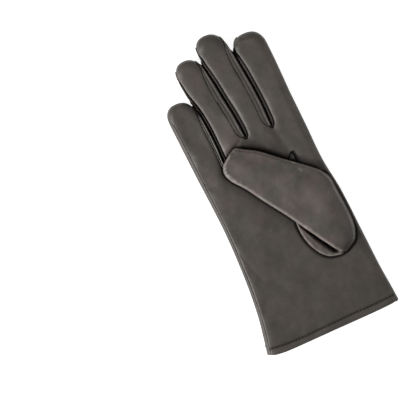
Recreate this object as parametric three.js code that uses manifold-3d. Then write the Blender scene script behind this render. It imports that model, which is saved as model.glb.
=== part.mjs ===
// A right-hand leather dress glove, lying on its back with the palm up and the thumb across the palm.
// Millimetres. +Z is up from the floor, +Y runs to the fingertips, +X to the index finger and thumb.
// The tables are in the glove's own lines: y = 0 is the hem's stitching, x = 0 the middle of the cuff.
import * as THREE from "three";
import { mergeVertices } from "three/addons/utils/BufferGeometryUtils.js";
import Module from "manifold-3d";

const wasm = await Module();
wasm.setup();

// Leather and seams
const LEATHER = 1.4; // leather with its backing
const HEM_WALL = 2.0; // the hem is turned under, so it is two thinned layers
const HEM_DEPTH = 7;
const SEAM_GAP = 0.3; // clearance between two pieces at a seam

// Heights above the floor
const SIDE_HEIGHT = 4.8; // the widest level of the hand and the fingers
const FINGER_HEIGHT = 10.0;
const TIP_HEIGHT = 9.0;
const FINGER_CROWN = 0.5; // the top's rise from its rounded sides to its middle
const HAND_CROWN = 0.5;
const SIDE_ROLL = 6; // width of the rounded sides, seen from above
const THUMB_THICKNESS = 7.2;
const THUMB_ROLL = 3.4;
const CRESCENT_THICKNESS = 2.8;

// The two long edges of the hand and the outer fingers, and the height of the hand
const EDGES = [
  { y: -6, little_side: -59.4, index_side: 58.9, height: 9.6 },
  { y: 10, little_side: -56.5, index_side: 57.3, height: 9.7 },
  { y: 30, little_side: -53.4, index_side: 55.1, height: 9.9 },
  { y: 60, little_side: -51.4, index_side: 52.6, height: 10.2 },
  { y: 100, little_side: -51.3, index_side: 50.1, height: 10.4 },
  { y: 130, little_side: -53.2, index_side: 45.8, height: 10.4 },
  { y: 160, little_side: -55.7, index_side: 44.5, height: 10.2 },
  { y: 190, little_side: -57.7, index_side: 43.1, height: 10.0 },
  { y: 217, little_side: -59.6, index_side: 42.2, height: 10.0 },
  { y: 250, little_side: -61.0, index_side: 40.6, height: 10.0 },
];

// The hem's lower edge, and the line where the hand ends and the fingers divide
const HEM_LINE = [
  { x: -58.5, y: -1.5 },
  { x: -45, y: -4.4 },
  { x: 0, y: -3.6 },
  { x: 58.5, y: -1.2 },
];
const KNUCKLE_LINE = [
  { x: -56, y: 146 },
  { x: -29.6, y: 152 },
  { x: -17, y: 161 },
  { x: -5.2, y: 169.5 },
  { x: 18, y: 169.5 },
  { x: 44, y: 167 },
];

// Each finger's two sides, without the rounding of its tip
const FINGERS = [
  {
    name: "little",
    root: 138,
    tip: 217.4,
    rounding: 14.4,
    sides: [
      { y: 138, left: -53.3, right: -29.2 },
      { y: 152, left: -54.7, right: -30.2 },
      { y: 175, left: -56.7, right: -30.6 },
      { y: 195, left: -58.0, right: -32.4 },
      { y: 217, left: -59.5, right: -35.7 },
    ],
  },
  {
    name: "ring",
    root: 144,
    tip: 247.3,
    rounding: 15.3,
    sides: [
      { y: 144, left: -28.6, right: -5.2 },
      { y: 172, left: -29.3, right: -6.0 },
      { y: 190, left: -30.3, right: -7.6 },
      { y: 205, left: -32.7, right: -10.0 },
      { y: 220, left: -36.9, right: -12.2 },
      { y: 235, left: -38.4, right: -14.9 },
      { y: 250, left: -38.9, right: -17.2 },
    ],
  },
  {
    name: "middle",
    root: 158,
    tip: 259.9,
    rounding: 15.9,
    sides: [
      { y: 158, left: -4.1, right: 17.3 },
      { y: 172, left: -4.6, right: 17.5 },
      { y: 190, left: -6.2, right: 17.2 },
      { y: 205, left: -8.7, right: 16.0 },
      { y: 220, left: -10.9, right: 14.2 },
      { y: 235, left: -13.7, right: 12.2 },
      { y: 250, left: -15.4, right: 9.8 },
      { y: 262, left: -16.2, right: 8.0 },
    ],
  },
  {
    name: "index",
    root: 156,
    tip: 249.2,
    rounding: 15.2,
    sides: [
      { y: 156, left: 18.6, right: 44.3 },
      { y: 175, left: 18.8, right: 43.6 },
      { y: 190, left: 18.4, right: 42.9 },
      { y: 205, left: 17.2, right: 42.5 },
      { y: 220, left: 15.5, right: 42.0 },
      { y: 235, left: 13.5, right: 41.2 },
      { y: 250, left: 12.8, right: 40.4 },
    ],
  },
];
const TIP_SQUARENESS = 2.4; // exponent of the rounded tips: 2 is an ellipse

// The strips between the fingers: where each begins, and how far up each finger it reaches
const FOURCHETTES = [
  { name: "little_ring", base: 152, left_end: 207, right_end: 238 },
  { name: "ring_middle", base: 169.5, left_end: 238, right_end: 249 },
  { name: "middle_index", base: 169.5, left_end: 249, right_end: 239 },
];
const FOURCHETTE_LOW = 1.8; // its seam to the back
const FOURCHETTE_HIGH = 8.1; // its seam to the palm
const FOURCHETTE_POINT = 14; // length over which its end narrows to a point
const FOURCHETTE_REACH = 4.6; // how far from a finger's side its wall is looked for
const FORK_REACH = 4.5; // the same, about the fork between two fingers
const SLIT_HALF_WIDTH = 0.6;

// The side seams lie inside the outline: on the palm at the little finger, on the back at the index
const LITTLE_SEAM = [
  { y: -8, inset: 3.9 },
  { y: 60, inset: 2.6 },
  { y: 130, inset: 3.4 },
  { y: 195, inset: 3.2 },
  { y: 216, inset: -1 },
];
const INDEX_SEAM = [
  { y: -8, inset: 3.6 },
  { y: 110, inset: 2.8 },
  { y: 225, inset: 2.4 },
  { y: 246, inset: -2 },
];

// The thumb, from its base to its tip: the edge laid on the palm, and the edge towards the index
const THUMB_STATIONS = [
  { low_x: 33.0, low_y: 51.6, high_x: 36.5, high_y: 51.7 },
  { low_x: 29.5, low_y: 53.4, high_x: 44.0, high_y: 57.3 },
  { low_x: 27.4, low_y: 56.6, high_x: 47.9, high_y: 64.0 },
  { low_x: 24.0, low_y: 62.0, high_x: 49.6, high_y: 73.0 },
  { low_x: 18.0, low_y: 71.2, high_x: 49.4, high_y: 87.0 },
  { low_x: 10.0, low_y: 83.6, high_x: 47.8, high_y: 101.0 },
  { low_x: 3.0, low_y: 94.8, high_x: 45.4, high_y: 114.0 },
  { low_x: -4.5, low_y: 105.8, high_x: 39.0, high_y: 123.8 },
  { low_x: -13.0, low_y: 118.0, high_x: 27.0, high_y: 134.0 },
  { low_x: -21.5, low_y: 131.0, high_x: 13.0, high_y: 144.8 },
  { low_x: -28.7, low_y: 139.2, high_x: 0.0, high_y: 155.6 },
  { low_x: -32.6, low_y: 145.5, high_x: -10.0, high_y: 161.3 },
  { low_x: -33.6, low_y: 150.2, high_x: -16.6, high_y: 165.0 },
  { low_x: -31.8, low_y: 154.6, high_x: -20.6, high_y: 163.6 },
  { low_x: -30.0, low_y: 156.8, high_x: -23.2, high_y: 162.2 },
];
const THUMB_HOLLOW_FIRST = 1; // the stations between which the thumb is hollow
const THUMB_HOLLOW_LAST = 13;

// The crescent of thumb leather that shows below the thumb: its outer and inner edge
const CRESCENT_STATIONS = [
  { out_x: 4.8, out_y: 89.0, in_x: 7.4, in_y: 90.5 },
  { out_x: 5.0, out_y: 82.0, in_x: 13.5, in_y: 81.0 },
  { out_x: 6.2, out_y: 74.0, in_x: 18.5, in_y: 73.5 },
  { out_x: 9.0, out_y: 66.0, in_x: 22.5, in_y: 67.0 },
  { out_x: 13.5, out_y: 58.6, in_x: 26.0, in_y: 61.5 },
  { out_x: 20.0, out_y: 53.0, in_x: 28.5, in_y: 57.5 },
  { out_x: 27.0, out_y: 50.6, in_x: 30.0, in_y: 55.0 },
  { out_x: 33.0, out_y: 50.5, in_x: 33.5, in_y: 54.5 },
];
const THUMB_HOLE = { x: 28, y: 79, half_width: 16.5, half_length: 23 };

// The three points: raised lines sewn into the back, each between two grooves
const POINTS = [
  [
    { x: -4.5, y: 145 },
    { x: -4.8, y: 115 },
    { x: -7.5, y: 97 },
    { x: -12.5, y: 80 },
    { x: -18.0, y: 63 },
    { x: -19.4, y: 45 },
    { x: -18.8, y: 20 },
  ],
  [
    { x: -15.5, y: 134 },
    { x: -17.5, y: 112 },
    { x: -22.0, y: 88 },
    { x: -28.0, y: 68 },
    { x: -29.7, y: 27 },
  ],
  [
    { x: -27.0, y: 121 },
    { x: -30.0, y: 108 },
    { x: -35.0, y: 90 },
    { x: -38.6, y: 69 },
    { x: -39.2, y: 30 },
  ],
];
const POINT_SPACING = 2.2; // between the two grooves of a point
const GROOVE_WIDTH = 0.8;
const GROOVE_DEPTH = 0.45;

// How finely the surfaces are divided
const HAND_STEPS = 10;
const HAND_FLAT_STEPS = 6;
const FINGER_STEPS = 5;
const FINGER_FLAT_STEPS = 2;
const SIDE_ANGLES = [0, 32, 62, 90]; // degrees round a rounded side
const TIP_ANGLES = [22, 44, 64, 83];
const EDGE_STEP = 8; // along the seams' outlines

const radians = THREE.MathUtils.degToRad;
const lerp = THREE.MathUtils.lerp;

// The value of a column at a place, on a smooth curve through the table's rows.
function along(rows, key, column, at) {
  const last = rows.length - 1;
  const t = THREE.MathUtils.clamp(at, rows[0][key], rows[last][key]);
  let i = 0;
  while (i < last - 1 && t > rows[i + 1][key]) i += 1;
  const slope = (a, b) => (rows[b][column] - rows[a][column]) / (rows[b][key] - rows[a][key]);
  const before = slope(Math.max(i - 1, 0), i + 1);
  const after = slope(i, Math.min(i + 2, last));
  const span = rows[i + 1][key] - rows[i][key];
  const u = (t - rows[i][key]) / span;
  const start = rows[i][column];
  const end = rows[i + 1][column];
  return (
    start * (2 * u ** 3 - 3 * u ** 2 + 1) +
    before * span * (u ** 3 - 2 * u ** 2 + u) +
    end * (3 * u ** 2 - 2 * u ** 3) +
    after * span * (u ** 3 - u ** 2)
  );
}

const edge = (side, y) => along(EDGES, "y", side, y);

// A solid from a closed geometry, with its shared corners merged.
function solid(geometry) {
  const bare = new THREE.BufferGeometry();
  bare.setAttribute("position", geometry.getAttribute("position"));
  bare.setIndex(geometry.index);
  const merged = mergeVertices(bare, 1e-4);
  return new wasm.Manifold(
    new wasm.Mesh({
      numProp: 3,
      vertProperties: merged.getAttribute("position").array,
      triVerts: new Uint32Array(merged.index.array),
    }),
  );
}

// A flat tube's cross-section: pairs of a distance across and a height, all the top ones from
// left to right and then the bottom ones back again. Both sides are rounded over the roll.
function section({ width, bottom, side, top, roll, crown, flatSteps }) {
  const reach = Math.min(roll, width * 0.46);
  const across = SIDE_ANGLES.map((a) => ({
    d: reach * (1 - Math.cos(radians(a))),
    rise: Math.sin(radians(a)),
    bulge: 0,
  }));
  for (let k = 1; k < flatSteps; k += 1) {
    const t = k / flatSteps;
    across.push({ d: lerp(reach, width - reach, t), rise: 1, bulge: 4 * t * (1 - t) });
  }
  for (const a of [...SIDE_ANGLES].reverse()) {
    across.push({
      d: width - reach * (1 - Math.cos(radians(a))),
      rise: Math.sin(radians(a)),
      bulge: 0,
    });
  }
  const over = across.map(({ d, rise, bulge }) => ({
    d,
    z: lerp(side, top, rise) + crown * bulge,
  }));
  const under = across.map(({ d, rise }) => ({ d, z: lerp(side, bottom, rise) }));
  return [...over, ...under.slice(1, -1).reverse()];
}

// The solid through a row of such sections, each a ring of points of the same count.
function loft(rings) {
  const count = rings[0].length;
  const across = count / 2 + 1;
  const corners = rings.flat().flatMap((p) => [p.x, p.y, p.z]);
  const faces = [];
  for (let i = 0; i < rings.length - 1; i += 1) {
    for (let j = 0; j < count; j += 1) {
      const a = i * count + j;
      const b = i * count + ((j + 1) % count);
      faces.push(a, b, b + count, a, b + count, a + count);
    }
  }
  const cap = (first, order) => {
    const above = (k) => first + k;
    const below = (k) => (k === 0 || k === across - 1 ? above(k) : first + count - k);
    for (let k = 0; k < across - 1; k += 1) {
      if (k > 0) faces.push(...order(above(k), below(k), below(k + 1)));
      if (k < across - 2) faces.push(...order(above(k), below(k + 1), above(k + 1)));
    }
  };
  cap(0, (a, b, c) => [a, b, c]);
  cap((rings.length - 1) * count, (a, b, c) => [a, c, b]);
  const geometry = new THREE.BufferGeometry();
  geometry.setAttribute("position", new THREE.Float32BufferAttribute(corners, 3));
  geometry.setIndex(faces);
  return solid(geometry);
}

// A solid with an outline seen from above, between two heights.
function prism(outline, low, high) {
  const shape = new THREE.Shape(outline.map(([x, y]) => new THREE.Vector2(x, y)));
  const geometry = new THREE.ExtrudeGeometry(shape, { depth: high - low, bevelEnabled: false });
  return solid(geometry.translate(0, 0, low));
}

// The hand, from the hem to where the fingers divide, drawn in by the inset.
function hand({ inset, beyondHem, endInset }) {
  const hemY = (x) => along(HEM_LINE, "x", "y", x) - beyondHem;
  const knuckleY = (x) => along(KNUCKLE_LINE, "x", "y", x) - endInset;
  const leftmost = EDGES[0].little_side;
  const rightmost = EDGES[0].index_side;
  const rings = [];
  for (let i = 0; i <= HAND_STEPS; i += 1) {
    const v = i / HAND_STEPS;
    const leftY = lerp(hemY(leftmost), knuckleY(leftmost), v);
    const rightY = lerp(hemY(rightmost), knuckleY(rightmost), v);
    const left = edge("little_side", leftY) + inset;
    const right = edge("index_side", rightY) - inset;
    const ring = section({
      width: right - left,
      bottom: inset,
      side: SIDE_HEIGHT,
      top: edge("height", (leftY + rightY) / 2) - inset,
      roll: SIDE_ROLL,
      crown: HAND_CROWN,
      flatSteps: HAND_FLAT_STEPS,
    });
    rings.push(
      ring.map(({ d, z }) => {
        const x = left + d;
        return new THREE.Vector3(x, lerp(hemY(x), knuckleY(x), v), z);
      }),
    );
  }
  return loft(rings);
}

// The height of the palm's surface at a place on the hand.
function palmHeight(x, y) {
  const left = edge("little_side", y);
  const right = edge("index_side", y);
  const d = Math.min(x - left, right - x);
  const level = edge("height", y);
  if (d <= 0) return SIDE_HEIGHT;
  if (d < SIDE_ROLL) {
    const rise = Math.sqrt(1 - (1 - d / SIDE_ROLL) ** 2);
    return lerp(SIDE_HEIGHT, level, rise);
  }
  const t = (x - left - SIDE_ROLL) / (right - left - 2 * SIDE_ROLL);
  return level + HAND_CROWN * 4 * t * (1 - t);
}

// One finger, drawn in by the inset. Its tip rounds off in width and in height.
function finger(shape, inset) {
  const start = shape.root + 2 * inset;
  const tipStart = shape.tip - shape.rounding;
  const rounding = shape.rounding - inset;
  const places = [];
  for (let i = 0; i <= FINGER_STEPS; i += 1) {
    places.push({ y: lerp(start, tipStart, i / FINGER_STEPS), wide: 1, thick: 1 });
  }
  for (const angle of TIP_ANGLES) {
    const reach = Math.sin(radians(angle));
    places.push({
      y: tipStart + rounding * reach,
      wide: (1 - reach ** TIP_SQUARENESS) ** (1 / TIP_SQUARENESS),
      thick: (1 - reach ** 3) ** (1 / 2.2),
    });
  }
  return loft(
    places.map(({ y, wide, thick }) => {
      const left = along(shape.sides, "y", "left", y) + inset;
      const right = along(shape.sides, "y", "right", y) - inset;
      const width = (right - left) * wide;
      const first = (left + right - width) / 2;
      const level = lerp(FINGER_HEIGHT, TIP_HEIGHT, (y - start) / (shape.tip - start)) - inset;
      return section({
        width,
        bottom: lerp(SIDE_HEIGHT, inset, thick),
        side: SIDE_HEIGHT,
        top: lerp(SIDE_HEIGHT, level, thick),
        roll: SIDE_ROLL,
        crown: FINGER_CROWN * thick,
        flatSteps: FINGER_FLAT_STEPS,
      }).map(({ d, z }) => new THREE.Vector3(first + d, y, z));
    }),
  );
}

// The space that holds one side of a fourchette, along a finger's side, with a pointed end.
// Sign is 1 where the wall is on the finger's left, and -1 where it is on its right.
function wallSpace(shape, column, sign, base, end, grow) {
  const outline = [];
  const steps = Math.ceil((end - base) / EDGE_STEP);
  const place = (i) => lerp(base - 4, end + 1, i / steps);
  const sideX = (i) => along(shape.sides, "y", column, place(i));
  for (let i = 0; i <= steps; i += 1) {
    outline.push([sideX(i) - sign * (SLIT_HALF_WIDTH + grow), place(i)]);
  }
  for (let i = steps; i >= 0; i -= 1) {
    outline.push([sideX(i) + sign * (FOURCHETTE_REACH + grow), place(i)]);
  }
  const low = FOURCHETTE_LOW - grow;
  const high = FOURCHETTE_HIGH + grow;
  const pointed = new THREE.Shape([
    new THREE.Vector2(base - 6, low),
    new THREE.Vector2(end - FOURCHETTE_POINT, low),
    new THREE.Vector2(end + grow, SIDE_HEIGHT - grow),
    new THREE.Vector2(end + grow, SIDE_HEIGHT + grow),
    new THREE.Vector2(end - FOURCHETTE_POINT, high),
    new THREE.Vector2(base - 6, high),
  ]);
  const bar = new THREE.ExtrudeGeometry(pointed, { depth: 200, bevelEnabled: false });
  const turn = new THREE.Matrix4().makeBasis(
    new THREE.Vector3(0, 1, 0),
    new THREE.Vector3(0, 0, 1),
    new THREE.Vector3(1, 0, 0),
  );
  bar.applyMatrix4(turn).translate(-100, 0, 0);
  return prism(outline, low, high).intersect(solid(bar));
}

// The space of a whole fourchette: two finger sides and the fork between them.
function fourchetteSpace(strip, index, grow) {
  const left = FINGERS[index];
  const right = FINGERS[index + 1];
  const forkX = along(right.sides, "y", "left", strip.base);
  const fork = prism(
    [
      [forkX - FORK_REACH - grow, strip.base - FORK_REACH - grow],
      [forkX + FORK_REACH + grow, strip.base - FORK_REACH - grow],
      [forkX + FORK_REACH + grow, strip.base + FORK_REACH],
      [forkX - FORK_REACH - grow, strip.base + FORK_REACH],
    ],
    FOURCHETTE_LOW - grow,
    FOURCHETTE_HIGH + grow,
  );
  return wallSpace(left, "right", -1, strip.base, strip.left_end, grow)
    .add(wallSpace(right, "left", 1, strip.base, strip.right_end, grow))
    .add(fork);
}

// The strip of the hand outside a side seam, from the floor up or from above down.
function sideStrip(side, seam, sign, shift, low, high) {
  const first = seam[0].y;
  const last = seam[seam.length - 1].y;
  const steps = Math.ceil((last - first) / EDGE_STEP);
  const outline = [];
  for (let i = 0; i <= steps; i += 1) {
    const y = lerp(first, last, i / steps);
    outline.push([edge(side, y) + sign * (along(seam, "y", "inset", y) + shift), y]);
  }
  outline.push([edge(side, last) - sign * 12, last]);
  outline.push([edge(side, first) - sign * 12, first]);
  return prism(outline, low, high);
}

// A ribbon along a line on the back, for one groove of a point.
function groove(line, offset) {
  const sides = [-GROOVE_WIDTH / 2, GROOVE_WIDTH / 2].map((half) =>
    line.map((p, i) => {
      const a = line[Math.max(i - 1, 0)];
      const b = line[Math.min(i + 1, line.length - 1)];
      const length = Math.hypot(b.x - a.x, b.y - a.y);
      const out = offset + half;
      return [p.x + (out * (b.y - a.y)) / length, p.y - (out * (b.x - a.x)) / length];
    }),
  );
  return prism([...sides[0], ...sides[1].reverse()], -1, GROOVE_DEPTH);
}

// The thumb between two stations, drawn in by the inset, draped on the palm.
function thumbBody({ inset, first, last, bottom }) {
  const rings = THUMB_STATIONS.slice(first, last + 1).map((station) => {
    const low = new THREE.Vector2(station.low_x, station.low_y);
    const high = new THREE.Vector2(station.high_x, station.high_y);
    const direction = high.clone().sub(low).normalize();
    const width = low.distanceTo(high) - 2 * inset;
    return section({
      width,
      bottom: bottom + inset,
      side: THUMB_THICKNESS * 0.42,
      top: THUMB_THICKNESS * Math.min(1, 0.55 + width / 40) - inset,
      roll: THUMB_ROLL,
      crown: 0.4,
      flatSteps: 5,
    }).map(({ d, z }) => {
      const p = low.clone().addScaledVector(direction, inset + d);
      return new THREE.Vector3(p.x, p.y, palmHeight(p.x, p.y) + SEAM_GAP + z);
    });
  });
  return loft(rings);
}

// The crescent of leather round the foot of the thumb.
function crescent() {
  const rings = CRESCENT_STATIONS.map((station) => {
    const width = Math.hypot(station.in_x - station.out_x, station.in_y - station.out_y);
    return section({
      width,
      bottom: 0,
      side: CRESCENT_THICKNESS * 0.4,
      top: CRESCENT_THICKNESS,
      roll: 3,
      crown: 0,
      flatSteps: 2,
    }).map(({ d, z }) => {
      const x = lerp(station.out_x, station.in_x, d / width);
      const y = lerp(station.out_y, station.in_y, d / width);
      return new THREE.Vector3(x, y, palmHeight(x, y) + SEAM_GAP + z);
    });
  });
  return loft(rings.reverse());
}

function thumbHole(grow) {
  const outline = [];
  for (let i = 0; i < 20; i += 1) {
    const a = (i / 20) * 2 * Math.PI;
    outline.push([
      THUMB_HOLE.x + (THUMB_HOLE.half_width + grow) * Math.cos(a),
      THUMB_HOLE.y + (THUMB_HOLE.half_length + grow) * Math.sin(a),
    ]);
  }
  return prism(outline, SIDE_HEIGHT, 20);
}

// The glove's skin: hand and fingers, hollow, open at the hem.
const body = FINGERS.reduce(
  (whole, shape) => whole.add(finger(shape, 0)),
  hand({ inset: 0, beyondHem: 0, endInset: 0 }),
);
const hollow = FINGERS.reduce(
  (whole, shape) => whole.add(finger(shape, LEATHER)),
  hand({ inset: LEATHER, beyondHem: -HEM_DEPTH, endInset: LEATHER }),
).add(
  hand({ inset: HEM_WALL, beyondHem: 10, endInset: 60 }),
);
const skin = body.subtract(hollow);

const fourchettes = FOURCHETTES.map((strip, i) => skin.intersect(fourchetteSpace(strip, i, 0)));
const panels = FOURCHETTES.reduce(
  (rest, strip, i) => rest.subtract(fourchetteSpace(strip, i, SEAM_GAP)),
  skin,
);

// The palm keeps what is above the middle level but for the strip outside the little-finger seam,
// and it wraps round the index side to the seam on the back. The back panel is the rest.
const half = SEAM_GAP / 2;
const far = [
  [-100, -40],
  [100, -40],
  [100, 300],
  [-100, 300],
];
const palmSpace = prism(far, SIDE_HEIGHT + half, 40)
  .subtract(sideStrip("little_side", LITTLE_SEAM, 1, half, -1, 40))
  .add(sideStrip("index_side", INDEX_SEAM, -1, -half, -1, 40));
const backSpace = prism(far, -1, SIDE_HEIGHT - half)
  .subtract(sideStrip("index_side", INDEX_SEAM, -1, half, -1, 40))
  .add(sideStrip("little_side", LITTLE_SEAM, 1, -half, -1, 40));
const palm = panels.intersect(palmSpace).subtract(thumbHole(0));
const back = POINTS.reduce(
  (rest, line) =>
    rest.subtract(groove(line, -POINT_SPACING / 2)).subtract(groove(line, POINT_SPACING / 2)),
  panels.intersect(backSpace),
);

// The thumb is open into the hand through the thumb hole.
const stations = { first: THUMB_HOLLOW_FIRST, last: THUMB_HOLLOW_LAST };
const thumbHollow = thumbBody({ inset: LEATHER, bottom: 0, ...stations });
const thumbThroat = thumbBody({ inset: LEATHER, bottom: -4, ...stations }).intersect(thumbHole(0));
const lifted = body.translate([0, 0, SEAM_GAP]);
const thumb = thumbBody({
  inset: 0,
  bottom: 0,
  first: 0,
  last: THUMB_STATIONS.length - 1,
})
  .add(crescent())
  .subtract(thumbHollow)
  .subtract(thumbThroat)
  .subtract(lifted);

const leather = { color: 0x544e48, roughness: 0.46, metalness: 0 };
const materials = {
  palm: new THREE.MeshStandardMaterial({ ...leather }),
  back: new THREE.MeshStandardMaterial({ ...leather, color: 0x514b46 }),
  fourchette: new THREE.MeshStandardMaterial({ ...leather, color: 0x4b4641 }),
  thumb: new THREE.MeshStandardMaterial({ ...leather, color: 0x5b534e }),
};

// A named piece from a finished solid.
function piece(name, made, material) {
  const { vertProperties, triVerts } = made.getMesh();
  const geometry = new THREE.BufferGeometry();
  geometry.setAttribute("position", new THREE.BufferAttribute(vertProperties, 3));
  geometry.setIndex(new THREE.BufferAttribute(triVerts, 1));
  geometry.computeVertexNormals();
  const mesh = new THREE.Mesh(geometry, material);
  mesh.name = name;
  return mesh;
}

const glove = new THREE.Group();
glove.add(piece("palm_panel", palm, materials.palm));
glove.add(piece("back_panel", back, materials.back));
FOURCHETTES.forEach((strip, i) => {
  glove.add(piece(`fourchette_${strip.name}`, fourchettes[i], materials.fourchette));
});
glove.add(piece("thumb", thumb, materials.thumb));

// The part's origin is on the floor, under the middle of its bounding box.
const box = new THREE.Box3().setFromObject(glove);
const middle = box.getCenter(new THREE.Vector3());
glove.position.set(-middle.x, -middle.y, -box.min.z);

export default glove;
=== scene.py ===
"""A right-hand leather dress glove, lying on its back with the palm up and the thumb across the palm.

Lengths are millimetres in the glove's own lines, as a glover draws them: y = 0 is the hem's stitching and y
runs to the fingertips, x = 0 is the middle of the cuff and x runs to the index finger, and z is up from the
floor. Lines.place turns them into metres in the part's frame.
"""

import logging
import math
from collections.abc import Iterator
from contextlib import contextmanager
from dataclasses import dataclass, field
from enum import Enum
from typing import ClassVar

import bpy
import numpy as np
from bpy.types import Material, Node, NodeSocket, NodeTree, Object
from mathutils import Matrix, Vector


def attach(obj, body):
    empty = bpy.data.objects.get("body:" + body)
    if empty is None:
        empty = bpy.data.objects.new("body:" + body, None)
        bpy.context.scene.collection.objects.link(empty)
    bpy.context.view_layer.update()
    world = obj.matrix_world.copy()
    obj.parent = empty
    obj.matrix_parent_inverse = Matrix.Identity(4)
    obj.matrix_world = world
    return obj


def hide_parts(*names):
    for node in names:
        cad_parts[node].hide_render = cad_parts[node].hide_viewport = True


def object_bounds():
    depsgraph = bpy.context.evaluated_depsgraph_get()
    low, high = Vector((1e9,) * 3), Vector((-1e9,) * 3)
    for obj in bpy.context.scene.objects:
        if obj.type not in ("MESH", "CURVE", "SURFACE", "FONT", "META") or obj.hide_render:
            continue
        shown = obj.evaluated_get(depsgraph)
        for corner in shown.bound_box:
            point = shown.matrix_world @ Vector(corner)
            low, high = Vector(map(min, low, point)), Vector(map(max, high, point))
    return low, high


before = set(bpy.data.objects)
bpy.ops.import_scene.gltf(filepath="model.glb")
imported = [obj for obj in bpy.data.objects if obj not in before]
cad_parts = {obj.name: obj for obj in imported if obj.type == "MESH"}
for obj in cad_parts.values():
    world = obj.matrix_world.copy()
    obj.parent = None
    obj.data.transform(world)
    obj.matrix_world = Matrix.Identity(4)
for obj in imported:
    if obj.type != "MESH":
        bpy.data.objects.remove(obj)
CAD_LOW, CAD_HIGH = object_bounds()

logging.basicConfig(level=logging.INFO, format="%(message)s")
LOG = logging.getLogger("glove")

BODY = "root"
MILLIMETRE = 0.001
SEED = 7
FLOOR_GAP = 0.02  # the leather lies this far above the floor
HEM_PITCH = 2.9  # from one stitch of the hem to the next
LINE_STEP = 0.5  # the spacing of the points of a sewn line
UP = np.array([0.0, 0.0, 1.0])

Array = np.ndarray
Values = np.ndarray | float
Places = tuple[tuple[float, float], ...]
Reach = tuple[float, float, float]  # where a strip begins, forks and ends along the outline


class Face(Enum):
    """The two broad faces of the glove. The value is the way that the face looks."""

    PALM = 1
    BACK = -1


class Slot(Enum):
    """The finishes that the record names."""

    PALM = "palm_leather"
    BACK = "back_leather"
    FOURCHETTE = "fourchette_leather"
    THUMB = "thumb_leather"
    THREAD = "thread"


@dataclass(frozen=True)
class Lines:
    """Where the glove's own lines lie in the part's frame.

    Args:
        middle: the middle of the glove's box, in the glove's lines.
    """

    middle: tuple[float, float] = (-0.073, 127.606)

    @property
    def start(self) -> Array:
        """The middle of the solids' foot, in metres."""
        centre = (CAD_LOW + CAD_HIGH) / 2
        return np.array([centre.x, centre.y, CAD_LOW.z])

    def place(self, points: Array) -> Array:
        """Turns places in the glove's lines into metres in the part's frame."""
        return (points - np.array([*self.middle, 0.0])) * MILLIMETRE + self.start

    def back(self, points: Array) -> Array:
        """Turns metres in the part's frame back into the glove's lines."""
        return (points - self.start) / MILLIMETRE + np.array([*self.middle, 0.0])


LINES = Lines()


def ease(t: Values) -> Array:
    """A smooth step from 0 to 1."""
    t = np.clip(t, 0.0, 1.0)
    return t * t * (3 - 2 * t)


def lerp(a: Values, b: Values, t: Values) -> Array:
    """The value between a and b."""
    return a + (b - a) * t


def bell(gap: Array, width: Values, power: float = 2) -> Array:
    """A hump, 1 where the gap is 0 and fading over the width. A higher power squares its shoulders."""
    return np.exp(-((gap / width) ** power))


def rounded(t: Array) -> Array:
    """The rise of a quarter-round edge, 0 upright at its foot and 1 level at its top."""
    return np.sqrt(np.clip(1 - (1 - np.clip(t, 0.0, 1.0)) ** 2, 0.0, 1.0))


def unit(ways: Array) -> Array:
    """The same directions, each of length 1."""
    return ways / np.linalg.norm(ways, axis=-1)[..., None]


def lifted(plan: Array, z: Array) -> Array:
    """Places in the plane, each with its height."""
    return np.concatenate([plan, z[..., None]], axis=-1)


def hermite(start: Array, leave: Array, end: Array, arrive: Array, t: Array) -> Array:
    """A curve between two ends, by the ways in which it leaves the first and arrives at the last.

    Args:
        start: the first end.
        leave: the way in which it leaves, as long as the whole span.
        end: the last end.
        arrive: the way in which it arrives.
        t: the places along it, from 0 to 1.

    Returns:
        The value at each place.
    """
    return (
        start * (2 * t**3 - 3 * t**2 + 1)
        + leave * (t**3 - 2 * t**2 + t)
        + end * (3 * t**2 - 2 * t**3)
        + arrive * (t**3 - t**2)
    )


def crowded(count: int, power: float) -> Array:
    """Places that many steps from 0 to 1, even for a power of 1 and crowded at both ends above it."""
    t = np.linspace(0.0, 1.0, count + 1)
    return np.where(t < 0.5, 0.5 * (2 * t) ** power, 1 - 0.5 * np.abs(2 - 2 * t) ** power)


@dataclass(frozen=True)
class Table:
    """A short table with named columns, read along a smooth curve through its rows.

    Args:
        columns: the names; the first is the place that the others are read at.
        rows: the values, a row for each section.
    """

    columns: tuple[str, ...]
    rows: tuple[tuple[float, ...], ...]

    def column(self, name: str) -> Array:
        """All the values of one column."""
        return np.array([row[self.columns.index(name)] for row in self.rows])

    def read(self, name: str, at: Values) -> Array:
        """Reads a column on a smooth curve.

        Args:
            name: the column.
            at: places in the first column.

        Returns:
            The value at each place.
        """
        keys, values = self.column(self.columns[0]), self.column(name)
        slopes = self._slopes(keys, values)
        place = np.clip(at, keys[0], keys[-1])
        i = np.clip(np.searchsorted(keys, place, side="right") - 1, 0, len(keys) - 2)
        span = keys[i + 1] - keys[i]
        u = (place - keys[i]) / span
        return hermite(values[i], slopes[i] * span, values[i + 1], slopes[i + 1] * span, u)

    def line(self, prefix: str, at: Array) -> Array:
        """A line in the plane, from the two columns whose names begin with the prefix."""
        return np.stack([self.read(f"{prefix}_x", at), self.read(f"{prefix}_y", at)], axis=1)

    @staticmethod
    def _slopes(keys: Array, values: Array) -> Array:
        """The curve's slope at each row."""
        inner = (values[2:] - values[:-2]) / (keys[2:] - keys[:-2])
        first = (values[1] - values[0]) / (keys[1] - keys[0])
        last = (values[-1] - values[-2]) / (keys[-1] - keys[-2])
        return np.concatenate([[first], inner, [last]])


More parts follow.
